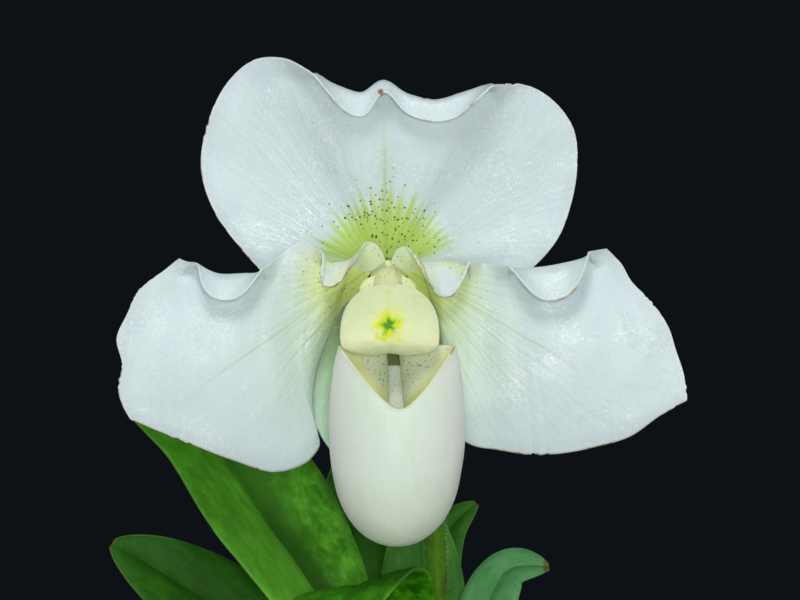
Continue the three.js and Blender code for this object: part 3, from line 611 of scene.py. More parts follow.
def petal_material(name, midrib_angle):
    """The pattern map holds the angle about the claw, from straight down, and the distance."""
    shade, u, r, edge = white_skin(name)
    width = r * math.pi
    wobble = shade.noise(6.0) - 0.5

    def veins(count, shift, thick):
        along = u * count + wobble * 0.55 + shift
        offset = abs(shade.math("PINGPONG", along, 0.5))
        line = (offset * width / count).step(thick, thick * 0.2)
        return line * (r / (shade.random(along) * 13 + 18)).step(1.0, 0.45)

    low = u.step(0.62, 0.34)
    main = veins(31, 0.0, 0.36) * low
    fork = veins(62, 0.25, 0.26) * low * r.step(5, 11)
    middle = abs((u - midrib_angle / 180 + wobble * 0.008) * width)
    fine = shade.swing((u * 75 + wobble * 1.2) * math.tau)
    allowed = shade.math("MAXIMUM", u.step(0.76, 0.55), r.step(6.5, 4.0) * 0.7)
    dots = freckles(shade, 0.60, r.step(17, 5, 0.0, 0.66) * allowed, 0.105)
    # A cream and lime flush spreads from the claw, and another covers the hump over it.
    shade.paint(
        (r.step(36, 8) * u.step(0.48, 0.06), 0.60, (0.65, 0.78, 0.55)),
        (r.step(15, 2.5) * u.step(0.75, 0.45), 0.9, CREAM),
        (r.step(13, 4) * u.step(0.8, 0.55), 0.8, (0.84, 0.96, 0.25)),
        (r.step(9, 4) * u.step(0.7, 0.9), 0.85, (0.72, 0.83, 0.48)),
        (main, 0.32, LIME),
        (fork, 0.18, LIME),
        (middle.step(0.34, 0.05) * r.step(36, 22), 0.5, (0.50, 0.60, 0.35)),
        (dots, r.step(17, 8, 0.3, 0.75), (0.24, 0.06, 0.06)),
        (fine * r.step(6, 14), 0.08, (0.70, 0.78, 0.76)),
    )
    flap = abs(u - 0.54).step(0.08, 0.05)
    margin(shade, edge, 0.10 - flap * 0.12)
    return shade.finish(skin_relief(shade, (main, 0.025), (fine, 0.012)))


def synsepal_material():
    shade = soft_skin("synsepal_skin", 1.1)
    u, v = shade.pattern()
    r = v * UV_REACH
    streak = shade.swing((u * 22 + shade.noise(5) * 0.6) * math.tau)
    shade.base(shade.noise(6.0, 3.0), (0.50, 0.72, 0.50), (0.64, 0.84, 0.67))
    # Painted shade: deep olive near the claw, where the synsepal lies deep behind the lip.
    shade.paint(
        (r.step(18, 5), 0.75, (0.26, 0.40, 0.09)),
        (streak * r.step(24, 6), 0.35, (0.45, 0.62, 0.25)),
    )
    margin(shade, shade.value("edge"), 0.0)
    skin_relief(shade, (streak, 0.025))
    return shade.finish(0.42)


def pouch_material():
    shade = soft_skin("lip_skin", 2.0, 0.8)
    x, y, z = shade.parts()
    right, up = shade.from_flower(POUCH["x"], 0)
    rim, lobe = shade.value("rim"), shade.value("lobe")
    cloud = shade.noise(11.0)
    vein = shade.noise(1.5, 3.0, at=shade.vector(x, y, z * 0.12))
    shade.base(cloud, (0.71, 0.885, 0.70), (0.77, 0.925, 0.74))
    # Paler towards the right, and painted light makes it paler still towards both sides.
    shade.paint(
        (right.step(-10, 10), 0.5, (0.76, 0.91, 0.76)),
        (abs(right).step(5.5, 10), 0.75, (0.88, 0.99, 0.84)),
        (up.step(POUCH["bottom"] + 14, POUCH["bottom"]), 1, (0.70, 0.87, 0.65)),
        (vein.step(0.52, 0.66), 0.10, (0.58, 0.70, 0.42)),
    )
    outer = shade.colour

    # Inside, the lobes are pale and speckled, with yellow along the V, and the strip is whiter.
    #     Shade is painted on the wall deep in the cup, and nearly black on its back behind the lobes.
    wall, folded = lobe.step(0.2, 0.0), lobe.step(0.6, 0.9)
    strip = lobe.step(0.2, 0.4) - folded
    behind = y.step(FLOWER[1] - 5.0, FLOWER[1] - 3.5) * lobe.step(0.4, 0.1)
    rise = up - POUCH["notch"]
    above_v = rise + 2.0 - shade.hypot(right - 0.5, 1.6) * 1.25
    yellow = (above_v / (rise * 0.075 + 0.35)).step(3.0, 0.8)
    shade.base(shade.noise(3.0), (0.64, 0.70, 0.28), (0.74, 0.79, 0.42))
    shade.paint(
        (folded, 1, shade.mix(cloud, (0.79, 0.97, 0.56), (0.87, 0.99, 0.70))),
        (strip, 1, (0.86, 0.98, 0.80)),
        # Painted shade deep in the cup and on the back wall behind the lobes.
        (up.step(-23, -34), 0.5, (0.55, 0.62, 0.30)),
        (behind, 0.9, (0.20, 0.24, 0.05)),
        (freckles(shade, 0.56, 0.95, 0.11) * folded, 0.8, (0.15, 0.02, 0.05)),
        (shade.voronoi(0.42).step(0.26, 0.16) * strip, 0.6, (0.30, 0.34, 0.22)),
        (yellow * folded, 1, (0.82, 0.90, 0.40)),
        (rim.step(2.9, 1.7) * wall, 0.9, (0.80, 0.88, 0.38)),
    )
    shade.colour = shade.mix(shade.value("inside"), outer, shade.colour)

    # The brown stain is an oval on the right ear, longer along the rim.
    right, up = shade.from_flower(*STAIN)
    along, across = (right * 0.50 + up * 0.87) / 0.95, (right * 0.87 - up * 0.50) / 0.24
    stain = (along * along + across * across + shade.noise(0.5)).step(1.5, 0.9)
    shade.paint(
        (rim.step(0.55, 0.1) * wall, 0.65, (0.78, 0.91, 0.50)),
        (stain, 0.85, (0.58, 0.19, 0.01)),
    )
    skin_relief(shade, (vein, 0.04))
    return shade.finish(shade.noise(2.5).step(0.3, 0.7, 0.36, 0.48))


def column_material():
    shade = soft_skin("column_skin", 1.0)
    x, y, z = shade.parts()
    right, up = shade.from_flower(*STAR)
    ragged = shade.noise(0.75, 4.0, 0.65, shade.vector(x, z)) - 0.5
    blobs = shade.noise(1.25, at=shade.vector(x + 7, z)) - 0.5
    arms = shade.swing(shade.math("ARCTAN2", right, up) * 5 + 0.7)
    r = shade.hypot(right, up)
    front = y.step(FLOWER[1] - 12.7, FLOWER[1] - 13.2)
    behind = 1 - front
    groove = abs(right).step(0.9, 0.1) * up.step(0.5, 2.5)
    mark = shade.hypot(*shade.from_flower(*RING_MARK))
    ripple = shade.swing(mark * 11.0) * mark.step(1.15, 0.8) * front
    shade.base(shade.noise(3.5, 3.0), (0.65, 0.76, 0.43), (0.75, 0.84, 0.54))
    shade.paint(
        # A pale line round the shield's front edge is a painted highlight.
        (shade.value("edge").step(0.35, 0.0) * front, 0.6, (0.88, 0.92, 0.72)),
        (up.step(3.5, -3.0), 0.60, (0.92, 1.0, 0.60)),
        (groove * front, 0.4, (0.70, 0.76, 0.25)),
        (r.step(4.6, 1.2) * front, 0.45, (0.80, 0.88, 0.38)),
        ((r + blobs * 4.5 + ragged * 1.5).step(2.9, 1.5) * front, 0.92, (0.80, 0.86, 0.02)),
        ((r + ragged * 3.4 - arms * 0.55).step(1.55, 0.35) * front, 0.92, (0.38, 0.66, 0.0)),
        ((r + ragged * 2.4 - arms * 0.3).step(1.0, 0.1) * front, 0.95, (0.07, 0.30, 0.0)),
        (ripple, 0.25, (0.62, 0.74, 0.40)),
        (behind, 0.95, (0.90, 0.98, 0.52)),
        (freckles(shade, 0.62, 0.8, 0.10) * behind, 0.6, (0.25, 0.06, 0.04)),
    )
    skin_relief(shade, (shade.voronoi(0.16), 0.05), (ripple, 0.04))
    return shade.finish(0.46)


def leaf_material(name, dark, light, contrast, dried, painted_shade_and_light):
    """The pattern map holds the distances across from the midrib and along the leaf."""
    shade = Shade(
        name, Subsurface_Weight=0.12, Subsurface_Radius=(0.6, 1.0, 0.3),
        Subsurface_Scale=0.8 * MM, Specular_IOR_Level=0.07,
    )
    u, v = shade.pattern()
    x, y = (u - 0.5) * UV_REACH, v * UV_REACH
    wobble = shade.noise(5.0) - 0.5
    cells = shade.vector(x / 1.25 + wobble * 0.8, y / 2.7)
    tone = shade.parts(shade.tiles(cells, "Color"))[0]
    lines = shade.tiles(cells, "Distance", "DISTANCE_TO_EDGE")
    patch = shade.noise(2.2, 4.0, 0.65, shade.vector(x / 1.2, y / 2.2))
    mosaic = (tone * 0.14 + patch * 1.2).step(0.46, 0.92) * lines.step(0.0, 0.16, 0.7, 1.0)
    veins = shade.swing(x / 1.9 * math.tau)
    tip = shade.value("tip") + wobble * dried
    deep = shade.mix(0.9, dark, (0.002, 0.012, 0.001))
    shade.base(mosaic * contrast, dark, light)
    # Shade is painted beside the midrib's fold and towards the tip, and light on the blade's other half.
    shade.paint(
        (shade.noise(14.0).step(0.35, 0.7), 0.3, dark),
        (veins, 0.10, light),
        # The midrib's crease is darkened with painted shade.
        (abs(x).step(0.55, 0.1), 0.55, dark),
        (x.step(6.5, 1.2) * x.step(-0.3, 0.3), painted_shade_and_light, deep),
        (y.step(50, 85), painted_shade_and_light * 0.95, dark),
        (x.step(0.2, -0.2) * y.step(75, 40), painted_shade_and_light * 0.75, light),
        (shade.value("side").step(0.5, -0.5), 0.35, (0.06, 0.22, 0.02)),
        (y.step(22, 6), 0.55, (0.26, 0.38, 0.10)),
        (shade.value("edge").step(0.35, 0.10), 0.15, (0.30, 0.50, 0.14)),
        (tip.step(dried * 1.3, dried * 0.8), 0.8, (0.15, 0.11, 0.035)),
    )
    pores = shade.voronoi(0.35, feature="SMOOTH_F1")
    shade.bump((lines, 0.03), (veins, 0.025), (shade.noise(3.0), 0.10), (pores, 0.03))
    return shade.finish((mosaic + wobble).step(0.0, 1.2, 0.42, 0.58))


def stem_material(name, dark, light, flush):
    shade = Shade(
        name, Subsurface_Weight=0.15, Subsurface_Radius=(0.8, 1.0, 0.4),
        Subsurface_Scale=0.6 * MM, Specular_IOR_Level=0.15,
    )
    x, y, z = shade.parts()
    grain = shade.noise(0.9, 3.0, at=shade.vector(x, y, z * 0.2))
    shade.base(grain, dark, light)
    shade.paint(
        (shade.noise(6.0, 3.0).step(0.5, 0.72), 0.7, flush),
        (shade.swing(shade.pattern()[0] * (6 * math.tau)), 0.2, light),
        (shade.voronoi(0.8).step(0.18, 0.1), 0.55, flush),
    )
    shade.bump((grain, 0.08), (shade.voronoi(0.3), 0.04))
    return shade.finish(0.55)


def hair_material(name, colour, tip):
    shade = Shade(
        name, Subsurface_Weight=0.2, Subsurface_Radius=(1.0, 1.0, 1.0), Subsurface_Scale=0.3 * MM,
    )
    shade.base(shade.noise(1.5), colour, tip)
    return shade.finish(0.5)


def clay_material():
    shade = Shade("fired_clay")
    z = shade.parts()[2]
    height = shade.vector(0.0, 0.0, z)
    cloud, grit = shade.noise(26.0, 4.0, 0.6), shade.noise(0.7, 3.0, 0.7)
    salt = shade.noise(16.0, 5.0, 0.65).step(0.54, 0.70) * z.step(8, 30) * z.step(72, 55)
    shade.base(cloud, (0.36, 0.125, 0.055), (0.54, 0.22, 0.105))
    shade.paint(
        (grit.step(0.60, 0.72), 0.5, (0.62, 0.34, 0.20)),
        (grit.step(0.38, 0.28), 0.45, (0.22, 0.07, 0.035)),
        (shade.noise(2.2, 3.0, at=height).step(0.5, 0.75), 0.16, (0.66, 0.36, 0.22)),
        (salt, 0.42, (0.74, 0.60, 0.50)),
        ((z + cloud * 14).step(20, 8), 0.45, (0.22, 0.075, 0.035)),
    )
    turned = shade.noise(1.1, at=height)
    shade.bump((turned, 0.18), (grit, 0.12), (shade.noise(5.0, 3.0), 0.25))
    return shade.finish(cloud.step(0.3, 0.7, 0.78, 0.92))


def bark_material():
    shade = Shade("bark_chips")
    stretched = shade.node(
        "ShaderNodeVectorMath", {0: shade.place, 1: (1.0, 0.35, 1.6)}, operation="MULTIPLY"
    )
    fibre, tone = shade.noise(1.6, 5.0, 0.65, stretched), shade.value("tone")
    shade.base(fibre, (0.045, 0.020, 0.012), (0.17, 0.085, 0.045))
    shade.paint(
        (tone.step(0.25, 0.9), 1, shade.mix(fibre, (0.14, 0.055, 0.028), (0.34, 0.18, 0.095))),
        (shade.noise(5.0, 3.0).step(0.60, 0.75), 0.4, (0.09, 0.10, 0.04)),
        (tone.step(1.5, 1.6), 1, shade.mix(fibre, (0.55, 0.53, 0.48), (0.82, 0.80, 0.76))),
    )
    shade.bump((fibre, 0.35), (shade.noise(0.5, 3.0), 0.10))
    return shade.finish(0.88)


def crown_material():
    shade = Shade("crown_skin")
    x, y, z = shade.parts()
    fibre = shade.noise(1.2, 4.0, at=shade.vector(x, y, z * 0.25))
    shade.base(fibre, (0.16, 0.11, 0.045), (0.36, 0.34, 0.13))
    shade.paint((z.step(79, 83), 1, (0.30, 0.38, 0.14)))
    shade.bump((fibre, 0.25), (shade.voronoi(0.6), 0.08))
    return shade.finish(0.7)


# ---------------------------------------------------------------- sepals and petals


# Lengths of the margins that are nibbled.
SEPAL_MARGIN, PETAL_MARGIN, PETAL_END = 150, 90, 40
# Steps of a sepal round its claw, or of a petal out from it, then along a line's flat part and roll.
DORSAL_STEPS, SYNSEPAL_STEPS, PETAL_STEPS = (290, 70, 30), (140, 66, 8), (300, 78, 30)
PETAL_CAMBER = 0.06
# The claw's place on a petal that is laid flat: outwards and up.
PETAL_CLAW = (3.6, 0.6)
# Short hairs along a petal's inner edge, and the left one's long hairs as height: length.
FRINGE = 46
WHISKERS = {-6.9: 2.3, -8.5: 2.0, -9.8: 2.2}


def rolled_end(crest, tangent, roll, lap, steps):
    """The ends of lines: they rise to their crests and roll over to the front."""
    front = unit(FRONT - tangent * dot(tangent, FRONT[None]))
    fine = 2
    share = (np.arange(steps * fine) + 0.5) / (steps * fine)
    turn = np.radians(roll)[:, None] * smooth(0, ROLL_SHARE, share)[None]
    step = lap[:, None] / (steps * fine)
    zero = np.zeros((len(roll), 1))
    out = np.concatenate([zero, np.cumsum(np.cos(turn) * step, axis=1)], axis=1)[:, ::fine]
    forward = np.concatenate([zero, np.cumsum(np.sin(turn) * step, axis=1)], axis=1)[:, ::fine]
    out = out - out.max(axis=1, keepdims=True)
    return crest[:, None] + tangent[:, None] * out[..., None] + front[:, None] * forward[..., None]


def bezier(p0, p1, p2, p3, t):
    t = t[None, :, None]
    p0, p1, p2, p3 = (p[:, None] for p in (p0, p1, p2, p3))
    return ((1 - t) ** 3 * p0 + 3 * (1 - t) ** 2 * t * p1 + 3 * (1 - t) * t**2 * p2 + t**3 * p3)


def nibble(share, length, seed, amount):
    """Small irregular bites out of a margin of the given length, in millimetres."""
    s = (np.asarray(share) * length)[:, None]
    rough = 0.5 * waves(s, 1.1, seed) + 0.5 * waves(s, 3.2, seed + 1)
    some = smooth(-0.2, 1.2, waves(s, 16.0, seed + 3))
    return some * (0.3 * amount * waves(s, 2.0, seed + 2) - amount * np.maximum(0, rough - 0.25))


def sepal(lines, claw, sag, steps, bite, seed):
    columns, flat_steps, roll_steps = steps
    share = np.linspace(0, 1, columns + 1)
    x, z, heading, depth, roll, lap = row_at(lines, share * (len(lines) - 1)).T
    heading = np.radians(heading)
    cut = nibble(share, SEPAL_MARGIN, seed, bite)
    root = claw(share)
    crest = flower_point(x + cut * np.cos(heading), depth, z + cut * np.sin(heading))
    chord = np.linalg.norm(crest - root, axis=1)[:, None]
    outward = np.stack([np.cos(heading), 0 * heading, np.sin(heading)], axis=1)
    tangent = unit(outward - FRONT * 2 * sag)
    rolled = rolled_end(crest, tangent, roll, lap, roll_steps)
    leave = lerp(root, crest, 0.35) + FRONT * sag * chord
    arrive = rolled[:, 0] - tangent * 0.3 * np.maximum(0, chord - 5)
    flat = bezier(root, leave, arrive, rolled[:, 0], np.linspace(0, 1, flat_steps, endpoint=False))
    grid = np.concatenate([flat, rolled], axis=1)
    out = reach(grid, 1)
    uv = np.stack([np.broadcast_to(share[:, None], out.shape), out / UV_REACH], axis=-1)
    edge = np.minimum(reach(grid, 1, True), 0.8 * np.minimum(reach(grid, 0), reach(grid, 0, True)))
    return grid, uv, edge


def petal(lines, side, edge_bow, seed):
    columns, flat_steps, roll_steps = PETAL_STEPS
    share = np.linspace(0, 1, columns + 1)
    row = row_at(lines, share * (len(lines) - 1))
    low_x, low_z, low_depth, high_x, high_z, high_depth, bow, roll, lap = row.T
    cut = nibble(share, PETAL_MARGIN, seed, 0.35) * smooth(0.25, 0.5, share)
    lap = lap + nibble(share, PETAL_MARGIN, seed + 5, 0.2)
    low = flower_point(side * low_x, low_depth, low_z - cut)
    crest = flower_point(side * high_x, high_depth, high_z)
    chord = np.linalg.norm(crest - low, axis=1)[:, None]
    bend = (np.stack([side * bow, 0 * bow, 0 * bow], axis=1)
            + FRONT * PETAL_CAMBER * chord * np.minimum(1, 3 * share)[:, None])
    tangent = unit(crest - low - 4 * bend)
    rolled = rolled_end(crest, tangent, roll, lap, roll_steps)
    leave = lerp(low, crest, 1 / 3) + bend * 4 / 3
    arrive = rolled[:, 0] - tangent * chord / 3
    t = np.linspace(0, 1, flat_steps, endpoint=False)
    flat = bezier(low, leave, arrive, rolled[:, 0], t)
    along = row_at(np.array(edge_bow)[:, None], t * (len(edge_bow) - 1))[:, 0]
    ragged = nibble(t, PETAL_END, seed + 9, 0.4)
    outermost = smooth(0.8, 1, share)[:, None] * along + smooth(0.95, 1, share)[:, None] * ragged
    flat[..., 0] += side * outermost
    grid = np.concatenate([flat, rolled], axis=1)
    # The pattern is drawn on the petal as if its rolled margin were laid flat.
    roll_out = reach(rolled, 1)[..., None]
    laid = np.concatenate([flat, rolled[:, :1] + tangent[:, None] * roll_out], axis=1) - FLOWER
    px, pz = side * laid[..., 0] - PETAL_CLAW[0], laid[..., 2] - PETAL_CLAW[1]
    angle = np.arctan2(px, -pz)
    angle = np.where(angle < -math.pi / 2, angle + math.tau, angle)
    uv = np.stack([angle / math.pi, np.hypot(px, pz) / UV_REACH], axis=-1)
    edge = np.minimum(np.minimum(reach(grid, 1), reach(grid, 1, True)), reach(grid, 0, True))
    return grid, uv, edge


# Lines of a sepal round its claw: where each crests (x, z), its heading in degrees, its depth, the
# degrees that its end rolls over, and how long the rolling end is.
DORSAL_LINES = [
    [-19.2, -0.6, 190, -2.2, 0, 3],
    [-23.6, 4.2, 177, -1.8, 0, 3],
    [-27.9, 10.2, 165, -1.4, 0, 3],
    [-30.0, 17.0, 152, -0.8, 0, 3],
    [-29.0, 23.9, 142, 0, 0, 3],
    [-26.2, 30.0, 132, 1.0, 0, 3.5],
    [-21.9, 34.0, 121, 2.2, 0, 4],
    [-17.2, 34.6, 111, 3.4, 15, 5],
    [-12.6, 32.6, 105, 4.6, 70, 5.5],
    [-8.2, 29.8, 100, 5.2, 145, 6.6],
    [-4.2, 28.6, 95, 5.2, 165, 6.2],
    [-0.6, 30.6, 90, 4.8, 125, 5.6],
    [3.0, 28.3, 86, 5.2, 150, 5.4],
    [7.2, 27.5, 82, 5.4, 160, 6],
    [11.8, 28.7, 76, 5.4, 168, 6.9],
    [15.5, 29.9, 70, 4.6, 115, 6.5],
    [18.8, 30.3, 63, 3.4, 40, 5],
    [23.0, 29.9, 53, 2.4, 0, 4],
    [27.0, 27.2, 44, 1.4, 0, 3.5],
    [29.8, 23.0, 34, 0.2, 0, 3],
    [30.3, 17.4, 24, -0.8, 0, 3],
    [29.4, 11.6, 12, -1.6, 0, 3],
    [27.2, 5.8, 2, -2.0, 0, 3],
    [23.0, 1.0, -7, -2.4, 0, 3],
    [19.2, -0.8, -14, -2.4, 0, 3],
]
# Lines of a petal from its claw outwards: the foot (x, z, depth), the crest (x, z, depth), how far
# the line bows outwards, and the degrees and length of its rolled end.
LEFT_LINES = [
    [3.3, -3.4, 0.4, 0.35, 2.2, 2.0, 1.6, 0, 1.2],
    [4.9, -3.6, 0.5, 1.5, 4.5, 2.8, 1.4, 0, 1.5],
    [6.9, -4.8, 0.6, 3.3, 5.1, 3.3, 1.0, 15, 2],
    [8.7, -7.6, 0.7, 4.7, 3.2, 3.6, 0.6, 140, 5.6],
    [10.4, -11.8, 0.8, 6.2, 2.1, 3.8, 0.6, 162, 7.6],
    [11.6, -16.0, 1.0, 8.0, 1.6, 3.6, 0.9, 165, 7.6],
    [12.0, -20.4, 1.2, 9.6, 1.6, 3.0, 1.5, 145, 6.9],
    [11.5, -24.6, 1.4, 11.3, 4.0, 1.6, 2.2, 30, 4],
    [11.0, -27.4, 1.5, 14.1, 5.2, 0.6, 2.0, 0, 3.5],
    [13.6, -30.2, 1.8, 17.2, 3.2, 1.4, 1.2, 5, 3.5],
    [18.6, -31.4, 2.0, 19.8, -0.1, 2.8, 0.9, 90, 6],
    [24.5, -29.6, 2.4, 23.0, -0.5, 3.6, 1.0, 160, 8],
    [30.0, -27.4, 3.0, 26.9, -0.4, 3.6, 2.2, 155, 8],
    [35.6, -25.2, 3.6, 30.4, 0.8, 3.0, 3.8, 95, 6],
    [41.0, -22.9, 4.2, 33.3, 2.5, 2.6, 6.0, 15, 3.5],
]
# How far the petal's outermost line stands out, from its foot to its crest.
LEFT_EDGE = [0, -0.2, -1.4, 0, -0.1, 0.6, 0]
RIGHT_LINES = [
    [3.3, -3.4, 0.4, 0.35, 2.0, 2.0, 1.6, 0, 1.2],
    [5.0, -4.4, 0.5, 1.4, 4.0, 2.8, 1.4, 0, 1.5],
    [6.8, -6.6, 0.6, 3.1, 4.4, 3.3, 1.0, 15, 2],
    [8.1, -9.8, 0.7, 4.7, 2.4, 3.7, 0.6, 140, 5.8],
    [8.9, -13.2, 0.8, 6.1, 1.8, 4.0, 0.3, 163, 8.6],
    [9.6, -17.0, 1.0, 8.1, 1.7, 4.0, 0, 168, 9.8],
    [10.2, -21.0, 1.1, 10.2, 1.5, 3.5, 0.2, 165, 9.6],
    [10.8, -25.0, 1.3, 12.1, 1.0, 2.6, 0.4, 128, 6],
    [13.5, -27.2, 1.6, 14.4, 1.7, 1.6, 0, 15, 3.5],
    [18.0, -28.0, 2.0, 16.8, 1.4, 1.8, 0, 20, 4],
    [22.5, -28.6, 2.4, 19.6, 0.5, 2.8, 0, 100, 6.5],
    [27.5, -28.4, 2.8, 23.2, 0.5, 3.8, 0.3, 165, 10],
    [33.0, -27.4, 3.4, 27.4, 1.0, 3.8, 0.8, 165, 10],
    [38.5, -25.6, 4.0, 31.4, 2.2, 3.2, 1.5, 110, 7],
    [43.0, -22.4, 4.6, 33.6, 3.5, 2.8, 2.1, 40, 4.5],
    [47.4, -19.8, 5.0, 34.8, 4.1, 2.6, 2.8, 10, 3],
]
RIGHT_EDGE = [0, 0, -0.2, 0.1, -0.3, -1.0, 0]
SYNSEPAL_LINES = [
    [-9.6, -5.6, 196, -1.6, 0, 2],
    [-12.0, -12.5, 214, -1.2, 0, 2],
    [-12.4, -19.5, 232, -1.0, 0, 2],
    [-10.6, -26.0, 250, -1.4, 0, 2],
    [-6.4, -30.4, 260, -2.2, 0, 2],
    [0.2, -32.4, 270, -2.6, 0, 2],
    [6.8, -30.4, 280, -2.2, 0, 2],
    [10.8, -26.0, 290, -1.4, 0, 2],
    [12.2, -19.5, 308, -1.0, 0, 2],
    [11.6, -12.5, 326, -1.2, 0, 2],
    [9.2, -5.6, 344, -1.6, 0, 2],
]


def tepal_shell(grid, uv, edge, veins, ruffle, seed):
    """Adds soft ruffles near the margin and raised veins, then thins the sheet at its margin."""
    normals = grid_normals(grid)
    flat = grid - FLOWER
    out = uv[..., 1] * UV_REACH
    wave = waves(flat, 11.0, seed)
    lift = ruffle * wave * smooth(9, 0, edge) * smooth(2, 8, out)
    lift += 0.06 * waves(flat, 7.0, seed + 2)
    vein = np.cos(math.tau * (veins * uv[..., 0] + 0.3 * waves(flat, 14.0, seed + 3)))
    lift += 0.010 * vein * smooth(0, 3, edge) * smooth(4, 14, out)
    grid = grid + normals * lift[..., None]
    thickness = lerp(MARGIN_THICKNESS, TEPAL_THICKNESS, smooth(0, 2.5, edge))
    return sheet(grid, thickness, uv, edge=edge)


def build_tepals():
    def dorsal_claw(s):
        return flower_point(lerp(-5, 5, s), -0.75, 1.7 + 0.8 * np.sin(math.pi * s))

    def synsepal_claw(s):
        return flower_point(lerp(-3.2, 3.2, s), -0.75, -3.7 - 0.4 * np.sin(math.pi * s))

    form = sepal(DORSAL_LINES, dorsal_claw, -0.05, DORSAL_STEPS, bite=0.28, seed=3)
    dorsal = tepal_shell(*form, veins=48, ruffle=0.20, seed=21)
    add_piece("dorsal_sepal_fine", ["dorsal_sepal"], [dorsal], [dorsal_material()])
    form = sepal(SYNSEPAL_LINES, synsepal_claw, -0.12, SYNSEPAL_STEPS, bite=0.3, seed=8)
    back = tepal_shell(*form, veins=22, ruffle=0.25, seed=31)
    add_piece("synsepal_fine", ["synsepal"], [back], [synsepal_material()])
    cilia = hair_material("cilia", (0.75, 0.80, 0.70), (0.86, 0.88, 0.82))
    for name, lines, side, bow, seed, angle in (
        ("petal_left", LEFT_LINES, -1, LEFT_EDGE, 41, 55.0),
        ("petal_right", RIGHT_LINES, 1, RIGHT_EDGE, 61, 60.0),
    ):
        grid, uv, edge = petal(lines, side, bow, seed)
        shells = [tepal_shell(grid, uv, edge, veins=37, ruffle=0.20, seed=seed + 1)]
        random = np.random.default_rng(seed + 2)
        column = random.integers(19, 84, FRINGE)
        ones = np.ones(FRINGE)
        away = np.stack([-side * ones, -0.5 * ones, random.uniform(-0.5, 0.3, FRINGE)], 1)
        lengths = random.uniform(0.5, 1.5, FRINGE)
        shells.append(hairs(grid[column, 0], away, lengths, 0.022, seed + 3))
        if side < 0:
            inner_heights = grid[:150, 0, 2] - FLOWER[2]
            long_at = [np.argmin(np.abs(inner_heights - z)) for z in WHISKERS]
            away = np.tile([1.0, -0.4, 0.05], (len(WHISKERS), 1))
            shells.append(hairs(grid[long_at, 0], away, list(WHISKERS.values()), 0.035, seed + 4))
        skin = petal_material(name + "_skin", angle)
        add_piece(name + "_fine", [name], shells, [skin, cilia])


# ---------------------------------------------------------------- the pouch-shaped lip


FLUFF = 260
LOBE_WALL = 0.9 * POUCH["wall"]
WALL_SIDES, BOWL_LEVELS, WALL_LEVELS = 176, 46, 34
LOBE_GRID, TONGUE_GRID = (46, 44), (50, 26)


def rim_height(angle):
    """A rounded V at the front, an ear at each side, then a dip and the high back."""
    turn = np.abs(angle) / math.pi
    across = 9.6 * np.sin(np.minimum(turn, 0.5) * math.pi) * np.sign(angle) - 0.5
    slope = 1.22 + 0.09 * np.sign(across)
    front = POUCH["notch"] + slope * (np.hypot(across, 1.6) - 1.6)
    behind = lerp(front, POUCH["dip"], smooth(0.5, 0.68, turn))
    return lerp(behind, POUCH["back"], smooth(0.72, 1, turn))


def pouch_point(angle, level, inset):
    psi = (math.pi / 2) * np.minimum(1, level)
    swell = np.abs(np.sin(psi)) ** (2 / POUCH["power"])
    drop = np.abs(np.cos(psi)) ** (2 / POUCH["power"])
    height = POUCH["waist"] - POUCH["bottom"] - inset
    rise = np.maximum(0, level - 1)
    z = lerp(POUCH["waist"] - height * drop, rim_height(angle), rise)
    narrow = 1 - 0.11 * np.maximum(0, (z - POUCH["waist"]) / 12) ** 2
    wide = (POUCH["half_width"] * narrow - inset) * swell
    deep = (POUCH["half_depth"] * narrow - inset) * swell
    x = POUCH["x"] + wide * np.sin(angle)
    return flower_point(x, POUCH["front"] + deep * np.cos(angle), z)


def pouch_wall():
    """The cup, as one closed shell: down the outside, over the rim and back down the inside."""
    angle = np.linspace(-math.pi, math.pi, WALL_SIDES, endpoint=False)
    bowl = np.linspace(0.012, 1, BOWL_LEVELS)
    wall = np.linspace(1, 2, WALL_LEVELS)[1:]
    levels = np.concatenate([bowl, wall])
    lv, an = np.meshgrid(levels, angle, indexing="ij")
    outer, inner = pouch_point(an, lv, 0.0), pouch_point(an, lv, POUCH["wall"])
    # The rim is thinner than the wall and rounded.
    thin = smooth(1.75, 2.0, lv)[..., None] * 0.28
    outer, inner = lerp(outer, inner, thin), lerp(inner, outer, thin)
    crest = 0.5 * (outer[-1:] + inner[-1:]) + np.array([0, 0, 0.14])
    rings = np.concatenate([outer, crest, inner[::-1]])
    below = (rim_height(angle)[None] + FLOWER[2]) - rings[..., 2]
    inside = np.concatenate([np.zeros(len(levels)), [0.6], np.ones(len(levels))])[:, None]
    rim = np.abs(below) * np.where(rings[..., 2] > FLOWER[2] - 34, 1, 9)
    shell = ring_shell(rings, rim=rim, inside=inside * np.ones(WALL_SIDES))
    centre = FLOWER + np.array([POUCH["x"], -POUCH["front"], 0])
    shell.points[:-2] += 0.10 * unit(shell.points[:-2] - centre) * waves(
        shell.points[:-2], 8.0, 71)[:, None]
    return shell


def side_lobe(side):
    """A plump lobe that turns in from the wall below the shield, and curls back at its end."""
    down = np.linspace(0, 1, LOBE_GRID[0])[:, None]
    turn = np.radians(112) * np.linspace(0, 1, LOBE_GRID[1])[None]
    outer = side * lerp(9.0, 6.2, down**1.3)
    inner = -lerp(1.9, 1.6, down) if side < 0 else lerp(0.5, 1.6, down)
    x = POUCH["x"] + lerp(outer, inner, np.sin(turn))
    f = 6.4 + 0.8 * down + 3.8 * np.cos(turn)
    z = lerp(-11.2, -20.9, down) - 0.5 * np.sin(turn) * (2 * down - 1)
    grid = flower_point(x, f, z)
    uv = np.stack(np.broadcast_arrays(turn, down), axis=-1)
    return sheet(grid, LOBE_WALL, uv, rim=FAR, inside=1.0, lobe=1.0)


